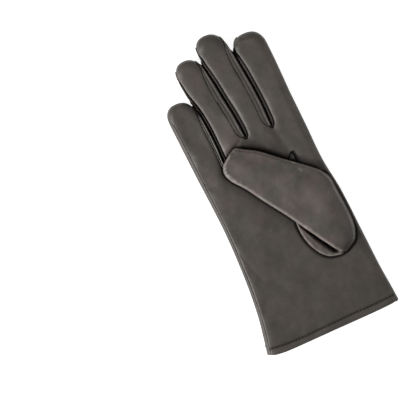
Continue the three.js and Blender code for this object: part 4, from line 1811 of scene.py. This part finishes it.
    def _crescent(self) -> Object:
        """Makes the crescent, which rises from its seam and plunges into the thumb hole.

        Returns:
            The finished piece.
        """
        t, u = np.linspace(0, CRESCENT.last, CRESCENT.rows + 1), np.linspace(0, 1, CRESCENT.columns + 1)
        out, inner = CRESCENT.stations.line("out", t), CRESCENT.stations.line("in", t)
        plan = lerp(out[:, None], inner[:, None], u[None, :, None])
        width = np.linalg.norm(inner - out, axis=1)[:, None]
        rise = CRESCENT.rise * rounded(width * u[None] / CRESCENT.edge)
        fall = CRESCENT.plunge * ease((u[None] - CRESCENT.plunge_start) / (1 - CRESCENT.plunge_start))
        fall = fall * np.minimum(width / 9, 1) * ease((6.3 - t) / 0.9)[:, None]
        rest = self.form.rest(plan.reshape(-1, 2)).reshape(plan.shape[:2])
        points = lifted(plan, rest - CRESCENT.sink + rise - fall)
        piece = Bench.join([Bench.grid("crescent", points)], "thumb_crescent")
        Bench.look(piece, UP, points[48, 5])
        places = Bench.read(piece)
        seam, along = Track(out).nearest(places[:, :2])
        Bench.push(piece, self.crescent_waves.height(places) * ease(seam / 1.5))
        station = Track(out, {"t": t}).value("t", along)
        deep = ease((5.4 - Track(inner).nearest(places[:, :2])[0]) / 2.2) * ease(seam / 2.4)
        # painted shade at the seam and down in the slit under the thumb, and painted highlight on the rising
        # edge and the turn
        Bench.masks(
            piece,
            groove=np.maximum(self.crescent_dark.at(seam), deep * ease((6.2 - station) / 0.7)),
            rim=np.maximum(self.crescent_highlight.at(seam), self.turn_highlight.rise(places[:, :2])),
            tone=0.52,
        )
        Bench.wall(piece, self.crescent_thickness)
        Bench.finish(piece, self.leather, Slot.THUMB, "thumb")
        return piece


@dataclass
class Needlework:
    """Rows of stitches, each a short thick thread sunk at both ends."""

    thread: Material
    thread_width: float = 0.62
    unevenness: float = 0.12

    def row(self, name: str, line: Track, pitch: float, length: float) -> Object:
        """Sews stitches along a line in space.

        Args:
            name: the row's name.
            line: where the needle goes.
            pitch: from one stitch to the next.
            length: how much of each stitch shows.

        Returns:
            The joined stitches.
        """
        bpy.ops.object.select_all(action="DESELECT")
        bpy.ops.mesh.primitive_uv_sphere_add(segments=8, ring_count=6, radius=0.5 * MILLIMETRE)
        master = bpy.context.object
        with Bench.editing(master):
            bpy.ops.transform.resize(value=(length, self.thread_width, self.thread_width))
        draw = np.random.default_rng(SEED + len(name))
        copies = []
        for k in range(int(line.lengths[-1] / pitch)):
            shift = draw.uniform(-self.unevenness, self.unevenness)
            spots = LINES.place(line.at(np.array([k * pitch, k * pitch + length]) + shift))
            turn = Vector(spots[1] - spots[0]).to_track_quat("X", "Z").to_matrix().to_4x4()
            copy = master.copy()
            copy.data = master.data.copy()
            copy.data.transform(Matrix.Translation(Vector(spots.mean(axis=0))) @ turn)
            bpy.context.scene.collection.objects.link(copy)
            copies.append(copy)
        bpy.data.objects.remove(master)
        return Bench.join(copies, name, weld=0)

    def dress(self, pieces: list[Object], name: str) -> Object:
        """Joins rows of stitches and gives them their thread."""
        whole = Bench.join(pieces, name, weld=0)
        Bench.finish(whole, self.thread, Slot.THREAD)
        return whole


@dataclass
class HemStitching:
    """The two rows of stitches round the turned hem."""

    form: Form
    needle: Needlework
    length: float = 2.2
    palm_sink: float = 0.30
    back_sink: float = 0.26

    def build(self) -> Object:
        """Sews the hem.

        Returns:
            The finished piece.
        """
        rows = []
        for face, leather, sink in (
            (Face.PALM, PalmLeather, self.palm_sink),
            (Face.BACK, BackLeather, self.back_sink),
        ):
            plan = smooth_line(leather.hem_stitching).points
            line = Track(lifted(plan, self.form.heights(face, plan) - face.value * sink))
            rows.append(self.needle.row(f"hem_{face.name.lower()}", line, HEM_PITCH, self.length))
        return self.needle.dress(rows, "hem_stitches")


@dataclass
class Points:
    """The three raised lines sewn into the back."""

    form: Form
    leather: Material
    needle: Needlework
    lines: tuple[Places, ...] = (
        ((-4.5, 145), (-4.8, 115), (-7.5, 97), (-12.5, 80), (-18.0, 63), (-19.4, 45), (-18.8, 20)),
        ((-15.5, 134), (-17.5, 112), (-22.0, 88), (-28.0, 68), (-29.7, 27)),
        ((-27.0, 121), (-30.0, 108), (-35.0, 90), (-38.6, 69), (-39.2, 30)),
    )
    step: float = 1.2
    width: float = 2.8
    height: float = 0.62
    overlap: float = 0.16
    columns: int = 10
    thickness: float = 0.35
    stitch_pitch: float = 2.5
    stitch_length: float = 1.8

    def build(self) -> list[Object]:
        """Makes the welts and their stitches.

        Returns:
            The finished pieces.
        """
        welts, rows = [], []
        across = np.linspace(-1, 1, self.columns + 1)
        for number, places in enumerate(self.lines):
            line = smooth_line(places, self.step)
            way = unit(np.gradient(line.points, axis=0))
            side = np.stack([way[:, 1], -way[:, 0]], axis=1)
            plan = line.points[:, None] + side[:, None] * (across * self.width / 2)[None, :, None]
            ends = np.minimum(line.lengths, line.lengths[-1] - line.lengths)
            swell = np.cos(across * math.pi / 2)[None] ** 1.2 * ease(ends / 3)[:, None]
            z = self.form.heights(Face.BACK, plan.reshape(-1, 2)).reshape(plan.shape[:2])
            z = np.maximum(z + self.overlap - self.height * swell, FLOOR_GAP)
            welts.append(Bench.grid(f"welt_{number}", lifted(plan, z)))
            for sign in (-1, 1):
                edge = line.points + side * sign * (self.width / 2 + 0.05)
                stitched = Track(lifted(edge, self.form.heights(Face.BACK, edge) + 0.02))
                name = f"point_{number}_{sign}"
                rows.append(self.needle.row(name, stitched, self.stitch_pitch, self.stitch_length))
        piece = Bench.join(welts, "point_welts")
        Bench.look(piece, -UP, np.array([-19.4, 45.0, 0.1]))
        Bench.masks(piece, groove=0.0, rim=0.5, tone=0.5)
        Bench.wall(piece, self.thickness)
        Bench.finish(piece, self.leather, Slot.BACK)
        return [piece, self.needle.dress(rows, "point_stitches")]


@dataclass
class TackThread:
    """The loop of thread left where the thumb was tacked to the palm."""

    form: Form
    thread: Material
    radius: float = 0.66
    height: float = 0.75  # of its middle above the palm
    step: float = 0.3
    sides: int = 8
    loop: Places = (
        (19.3, 138.6), (20.3, 140.5), (22.2, 142.5), (24.2, 144.3), (24.8, 144.0), (25.1, 142.0),
        (25.3, 139.4), (25.6, 135.4),
    )

    def build(self) -> Object:
        """Makes the loop.

        Returns:
            The finished piece.
        """
        line = smooth_line(self.loop, self.step)
        spine = lifted(line.points, self.form.rest(line.points) + self.height)
        way = unit(np.gradient(spine, axis=0))
        side = np.stack([way[:, 1], -way[:, 0], np.zeros(len(way))], axis=1)
        angle = np.linspace(0, 2 * math.pi, self.sides + 1)[None, :, None]
        ring = side[:, None] * np.cos(angle) + UP * np.sin(angle)
        piece = Bench.join([Bench.grid("loop", spine[:, None] + ring * self.radius)], "tack_thread")
        Bench.look(piece, UP, spine[len(spine) // 2] + UP * self.radius)
        with Bench.editing(piece):
            bpy.ops.mesh.fill_holes(sides=self.sides + 4)
        Bench.finish(piece, self.thread, Slot.THREAD)
        return piece


class Nodes:
    """Short ways to write a node tree."""

    def __init__(self, tree: NodeTree) -> None:
        """Takes the tree and empties it."""
        self.tree = tree
        tree.nodes.clear()

    def add(self, kind: str, feeds: dict[str | int, object] | None = None, **settings: object) -> Node:
        """Adds a node.

        Args:
            kind: its Blender name without the prefix ShaderNode.
            feeds: an output or a plain value for each input that it is given, by name or number.
            settings: its own settings.

        Returns:
            The node.
        """
        node = self.tree.nodes.new(kind if kind.startswith("NodeGroup") else "ShaderNode" + kind)
        for name, value in settings.items():
            setattr(node, name, value)
        for key, source in (feeds or {}).items():
            self.feed(source, node.inputs[key])
        return node

    def feed(self, source: object, target: NodeSocket) -> None:
        """Joins an output to an input, or sets the input where the source is a plain value."""
        if isinstance(source, NodeSocket):
            self.tree.links.new(source, target)
        else:
            target.default_value = source

    def math(self, operation: str, first: object, second: object = 0.0, clamp: bool = False) -> object:
        """The outcome of a sum with numbers or outputs, kept between 0 and 1 where it is clamped."""
        return self.add("Math", {0: first, 1: second}, operation=operation, use_clamp=clamp).outputs[0]

    def times(self, first: object, second: object, clamp: bool = False) -> object:
        """One value times another."""
        return self.math("MULTIPLY", first, second, clamp)

    def plus(self, first: object, second: object) -> object:
        """One value plus another."""
        return self.math("ADD", first, second)

    def minus(self, first: object, second: object) -> object:
        """One value less another."""
        return self.math("SUBTRACT", first, second)

    def noise(self, vector: object, scale: object, detail: float, rough: float = 0.5) -> object:
        """The value of a cloud texture."""
        feeds = {"Vector": vector, "Scale": scale, "Detail": detail, "Roughness": rough}
        return self.add("TexNoise", feeds).outputs[0]

    def mix(self, factor: object, first: object, second: object, blend: str = "MIX") -> object:
        """The mix of two colours, each a colour or an output. The factor is how much of the second."""
        feeds = {0: factor, 6: first, 7: second}  # the sockets of a mix of colours
        return self.add("Mix", feeds, data_type="RGBA", blend_type=blend).outputs[2]


def new_material(name: str) -> tuple[Material, Nodes]:
    """Starts a material with an empty node tree."""
    material = bpy.data.materials.new(name)
    material.use_nodes = True
    return material, Nodes(material.node_tree)


def shader_group(
    name: str, inputs: dict[str, object], outputs: dict[str, str]
) -> tuple[NodeTree, Nodes, object]:
    """Starts a shader node group.

    Args:
        name: its name.
        inputs: the first value of each input: a number, a colour, or nothing for a vector.
        outputs: the type of each output.

    Returns:
        The group, its short-hand, and what it is given, by name.
    """
    tree = bpy.data.node_groups.new(name, "ShaderNodeTree")
    for label, value in inputs.items():
        kind = "Vector" if value is None else "Color" if isinstance(value, tuple) else "Float"
        socket = tree.interface.new_socket(label, in_out="INPUT", socket_type=f"NodeSocket{kind}")
        if value is not None:
            socket.default_value = value
    for label, kind in outputs.items():
        tree.interface.new_socket(label, in_out="OUTPUT", socket_type=f"NodeSocket{kind}")
    nodes = Nodes(tree)
    return tree, nodes, nodes.add("NodeGroupInput").outputs


class Effects:
    """The effects that more than one finish uses, each a node group."""

    DARK_GREY = (0.05, 0.05, 0.05, 1)
    # the pale colour that rims are mixed towards as a painted highlight
    RIM_HIGHLIGHT_COLOUR = (0.46, 0.41, 0.37, 1)
    # the near black that dark seams and painted shade are mixed towards
    SEAM_AND_SHADE_BLACK = (0.004, 0.003, 0.003, 1)

    def __init__(self) -> None:
        """Builds each group once."""
        self.grain = self._grain()
        self.dye_and_light = self._dye_and_light()
        self.highlight_and_shade = self._highlight_and_shade()

    @staticmethod
    def _grain() -> NodeTree:
        """The skin's grain: pores between small cushions, and faint lines.

        Returns:
            The group.
        """
        tree, nodes, given = shader_group(
            "leather grain", {"Vector": None, "Pores": 900.0, "Creases": 120.0}, {"Height": "Float"}
        )
        place, pores = given["Vector"], given["Pores"]
        feeds = {"Vector": place, "Scale": pores, "Smoothness": 0.35}
        cells = nodes.add("TexVoronoi", feeds, feature="SMOOTH_F1")
        cushion = nodes.minus(1.0, nodes.math("POWER", cells.outputs["Distance"], 2.0))
        cloud = nodes.noise(place, nodes.times(pores, 0.45), 3.0)
        lines = nodes.noise(place, given["Creases"], 4.0, 0.6)
        crease = nodes.times(nodes.math("ABSOLUTE", nodes.minus(lines, 0.5)), 9.0)
        height = nodes.plus(nodes.times(cushion, 0.45), nodes.times(cloud, 0.35))
        height = nodes.plus(height, nodes.times(nodes.math("MINIMUM", crease, 1.0), 0.20))
        nodes.add("NodeGroupOutput", {"Height": height})
        return tree

    @staticmethod
    def _dye_and_light() -> NodeTree:
        """Colouring: broad clouds of a warmer and a cooler shade and a fine speckle, times the toning, which
        carries painted light and shade.

        Returns:
            The group.
        """
        grey = Effects.DARK_GREY
        tree, nodes, given = shader_group(
            "leather dye",
            {"Vector": None, "Cool": grey, "Warm": grey, "Clouds": 62.0, "Speckle": 0.1, "Tone": 0.5},
            {"Color": "Color"},
        )
        place = given["Vector"]
        broad = nodes.noise(place, given["Clouds"], 3.0, 0.55)
        spread = nodes.add("MapRange", {"Value": broad, "From Min": 0.38, "From Max": 0.66})
        colour = nodes.mix(spread.outputs[0], given["Cool"], given["Warm"])
        speckle = nodes.times(nodes.minus(nodes.noise(place, 620.0, 2.0), 0.5), given["Speckle"])
        shade = nodes.times(nodes.minus(nodes.noise(place, 150.0, 3.0), 0.5), 0.42)
        # the toning, with its painted light and shade, lightens or darkens the colour
        value = nodes.plus(nodes.plus(nodes.plus(given["Tone"], 0.5), speckle), shade)
        level = nodes.add("CombineColor", {0: value, 1: value, 2: value})
        nodes.add("NodeGroupOutput", {"Color": nodes.mix(1.0, colour, level.outputs[0], "MULTIPLY")})
        return tree

    @staticmethod
    def _highlight_and_shade() -> NodeTree:
        """Painted light and shade: rims painted lighter in patches as a highlight and smoother, grooves
        painted darker and duller.

        Returns:
            The group.
        """
        tree, nodes, given = shader_group(
            "seam wear",
            {
                "Color": Effects.DARK_GREY, "Vector": None, "Rim": 0.0, "Groove": 0.0, "Lighten": 0.3,
                "Darken": 0.5, "Roughness": 0.45,
            },
            {"Color": "Color", "Roughness": "Float"},
        )
        patchy = nodes.noise(given["Vector"], 210.0, 3.0)
        # painted highlight on the rims, in patches
        rim = nodes.times(given["Rim"], nodes.times(patchy, 1.8), clamp=True)
        # painted darkness in the grooves: dark seams and painted shade
        dark = nodes.times(given["Groove"], given["Darken"], clamp=True)
        colour = nodes.mix(nodes.times(rim, given["Lighten"]), given["Color"], Effects.RIM_HIGHLIGHT_COLOUR)
        rough = nodes.minus(given["Roughness"], nodes.times(rim, 0.06))
        rough = nodes.plus(rough, nodes.times(nodes.minus(patchy, 0.5), 0.10))
        rough = nodes.plus(rough, nodes.times(dark, 0.3))
        nodes.add("NodeGroupOutput", {"Color": nodes.mix(dark, colour, Effects.SEAM_AND_SHADE_BLACK), "Roughness": rough})
        return tree


@dataclass(frozen=True)
class LeatherFinish:
    """Dyed glove leather with a low satin shine.

    Args:
        name: the finish's name.
        cool: the cooler shade of the leather's colour.
        warm: the warmer shade.
        roughness: how matt the skin is.
        lighten: how much paler the rims are painted, as a highlight.
        darken: how dark the grooves are painted, as dark seams and painted shade, and how dull.
        specular: how much the skin shines.
        speckle: how strong the colouring's fine speckle is.
        pores: how fine the pores are.
        creases: how fine the faint lines are.
        bump: how strong the grain is.
        grain_depth: how deep it is, in metres.
        grazing: between which two shares of a grazing view the shine dies away.
    """

    name: str
    cool: tuple[float, float, float]
    warm: tuple[float, float, float]
    roughness: float = 0.45
    lighten: float = 0.15
    darken: float = 0.92
    specular: float = 0.42
    speckle: float = 0.26
    pores: float = 1300.0
    creases: float = 140.0
    bump: float = 0.35
    grain_depth: float = 0.00012
    grazing: tuple[float, float] = (0.45, 0.78)

    def make(self, effects: Effects) -> Material:
        """Builds the material.

        Args:
            effects: the shared effects.

        Returns:
            The material.
        """
        material, nodes = new_material(self.name)
        place = nodes.add("TexCoord").outputs["Object"]
        # masks of painted highlight on rims, of dark seams with painted shade, and of toning with painted
        # light and shade
        rim, groove, tone = [
            nodes.add("Attribute", attribute_name=name).outputs["Fac"] for name in ("rim", "groove", "tone")
        ]
        dye_and_light = nodes.add(
            "Group",
            {
                "Vector": place, "Cool": (*self.cool, 1), "Warm": (*self.warm, 1), "Speckle": self.speckle,
                "Tone": tone,
            },
            node_tree=effects.dye_and_light,
        )
        highlight_and_shade = nodes.add(
            "Group",
            {
                "Color": dye_and_light.outputs["Color"], "Vector": place, "Rim": rim, "Groove": groove,
                "Lighten": self.lighten, "Darken": self.darken, "Roughness": self.roughness,
            },
            node_tree=effects.highlight_and_shade,
        )
        grain = nodes.add(
            "Group", {"Vector": place, "Pores": self.pores, "Creases": self.creases}, node_tree=effects.grain
        )
        height = grain.outputs["Height"]
        bump = nodes.add("Bump", {"Strength": self.bump, "Distance": self.grain_depth, "Height": height})
        skin = nodes.add("BsdfPrincipled", {
            "Base Color": highlight_and_shade.outputs["Color"], "Roughness": highlight_and_shade.outputs["Roughness"],
            "Specular IOR Level": self.specular, "Normal": bump.outputs["Normal"],
        })
        nodes.feed(self._gloss(nodes, groove), skin.inputs["Specular IOR Level"])
        nodes.add("OutputMaterial", {0: skin.outputs[0]})
        return material

    def _gloss(self, nodes: Nodes, groove: object) -> object:
        """Sums up the shine, which dies away in the grooves and where the leather turns from the eye.

        Args:
            nodes: the material's short-hand.
            groove: the mask of the dark seams and the painted shade in the grooves.

        Returns:
            Its output.
        """
        facing = nodes.add("LayerWeight").outputs["Facing"]
        begin, end = self.grazing
        graze = nodes.add(
            "MapRange",
            {"Value": facing, "From Min": begin, "From Max": end, "To Min": 1.0, "To Max": 0.0},
            interpolation_type="SMOOTHSTEP",
        )
        smooth = nodes.minus(1.0, nodes.times(groove, self.darken, clamp=True))
        return nodes.times(nodes.times(self.specular, smooth), graze.outputs[0])


@dataclass(frozen=True)
class ThreadFinish:
    """Waxed sewing thread with its twist."""

    name: str = "sewing thread"
    colour: tuple[float, float, float] = (0.010, 0.009, 0.008)
    specular: float = 0.15
    twist: float = 2600.0
    bump: float = 0.5
    twist_depth: float = 0.0001

    def make(self) -> Material:
        """Builds the material.

        Returns:
            The material.
        """
        material, nodes = new_material(self.name)
        twist = nodes.noise(nodes.add("TexCoord").outputs["Object"], self.twist, 2.0)
        lighter = tuple(2.4 * c for c in self.colour)
        bump = nodes.add("Bump", {"Strength": self.bump, "Distance": self.twist_depth, "Height": twist})
        cotton = nodes.add("BsdfPrincipled", {
            "Base Color": nodes.mix(twist, (*self.colour, 1), (*lighter, 1)), "Roughness": 0.8,
            "Specular IOR Level": self.specular, "Normal": bump.outputs["Normal"],
        })
        nodes.add("OutputMaterial", {0: cotton.outputs[0]})
        return material


@dataclass
class Studio:
    """A pale floor, soft light and the camera straight above."""

    camera_height: float = 1.5
    view_width: float = 328.1  # of the glove's level that the picture shows
    view_middle: tuple[float, float] = (-59.8, 137.2)
    view_turn: float = -23.0
    level: float = 6.0
    sensor: float = 36.0
    floor_size: float = 8.0
    table_glow: float = 0.86
    room: float = 0.26
    backdrop: float = 1.3

    def build(self) -> None:
        """Sets up the whole studio."""
        self._camera()
        self._floor()
        self._lamp("key", (-1.00, -0.40, 0.68), 0.60, 20.0)
        self._lamp("fill", (1.10, 0.35, 0.60), 0.90, 3.0)
        self._lamp("overhead", (-0.15, 0.1, 1.9), 1.1, 2.2)
        self._room()
        bpy.context.scene.view_settings.view_transform = "Standard"

    def _camera(self) -> None:
        """Hangs the camera above the picture's middle."""
        spot = LINES.place(np.array([[*self.view_middle, self.level]]))[0]
        bpy.ops.object.camera_add(location=(spot[0], spot[1], spot[2] + self.camera_height))
        camera = bpy.context.object
        camera.rotation_euler = (0.0, 0.0, math.radians(self.view_turn))
        camera.data.sensor_width = self.sensor
        camera.data.lens = self.sensor * self.camera_height / (self.view_width * MILLIMETRE)
        bpy.context.scene.camera = camera

    def _floor(self) -> None:
        """Lays a large white light table."""
        bpy.ops.mesh.primitive_plane_add(size=self.floor_size, location=(0, 0, 0))
        floor = bpy.context.object
        floor.name = "floor"
        material, nodes = new_material("light table")
        shader = nodes.add("BsdfPrincipled", {
            "Base Color": (0.5, 0.5, 0.5, 1), "Roughness": 0.9, "Specular IOR Level": 0.0,
            "Emission Color": (1.0, 1.0, 1.0, 1), "Emission Strength": self.table_glow,
        })
        nodes.add("OutputMaterial", {0: shader.outputs[0]})
        floor.data.materials.append(material)

    def _lamp(self, name: str, place: tuple[float, float, float], size: float, power: float) -> None:
        """Hangs a square soft light that looks at the glove.

        Args:
            name: its name.
            place: where it hangs, in metres, with x to the right of the picture and y up it.
            size: its side.
            power: its strength in watts.
        """
        spot = Matrix.Rotation(math.radians(self.view_turn), 3, "Z") @ Vector(place)
        bpy.ops.object.light_add(type="AREA", location=spot)
        lamp = bpy.context.object
        lamp.name = name
        lamp.data.size = size
        lamp.data.energy = power
        lamp.rotation_euler = (-spot).to_track_quat("-Z", "Y").to_euler()

    def _room(self) -> None:
        """Sets the room's own light, and the white that the camera sees beyond the floor."""
        world = bpy.data.worlds.new("studio")
        bpy.context.scene.world = world
        world.use_nodes = True
        nodes = Nodes(world.node_tree)
        room, backdrop = [nodes.add("Background", {"Strength": glow}) for glow in (self.room, self.backdrop)]
        seen = nodes.add("LightPath").outputs["Is Camera Ray"]
        choice = nodes.add("MixShader", {0: seen, 1: room.outputs[0], 2: backdrop.outputs[0]})
        nodes.add("OutputWorld", {0: choice.outputs[0]})


def main() -> None:
    """Builds the glove piece by piece, then the studio."""
    effects = Effects()
    palm = LeatherFinish("palm leather", (0.060, 0.054, 0.046), (0.075, 0.061, 0.053))
    back = LeatherFinish("back leather", (0.060, 0.053, 0.046), (0.071, 0.058, 0.051)).make(effects)
    strips = LeatherFinish("fourchette leather", (0.058, 0.052, 0.045), (0.066, 0.056, 0.049))
    # the thumb's finish is paler and warmer than the palm's: the paleness is painted light, for a face tilted
    # towards the lamp, and its rims take stronger painted highlights
    thumb = LeatherFinish("thumb leather", (0.077, 0.070, 0.060), (0.110, 0.085, 0.079), lighten=0.40)
    thread = ThreadFinish().make()
    tack = ThreadFinish("tack thread", (0.0015, 0.0014, 0.0013), 0.05).make()
    form = Form(Outline(PATTERN))
    needle = Needlework(thread)
    PalmLeather(form, palm.make(effects)).build()
    BackLeather(form, back).build()
    FourchetteLeather(form, strips.make(effects)).build()
    ThumbLeather(form, thumb.make(effects)).build()
    HemStitching(form, needle).build()
    Points(form, back, needle).build()
    TackThread(form, tack).build()
    Studio().build()


if __name__ == "__main__":
    main()
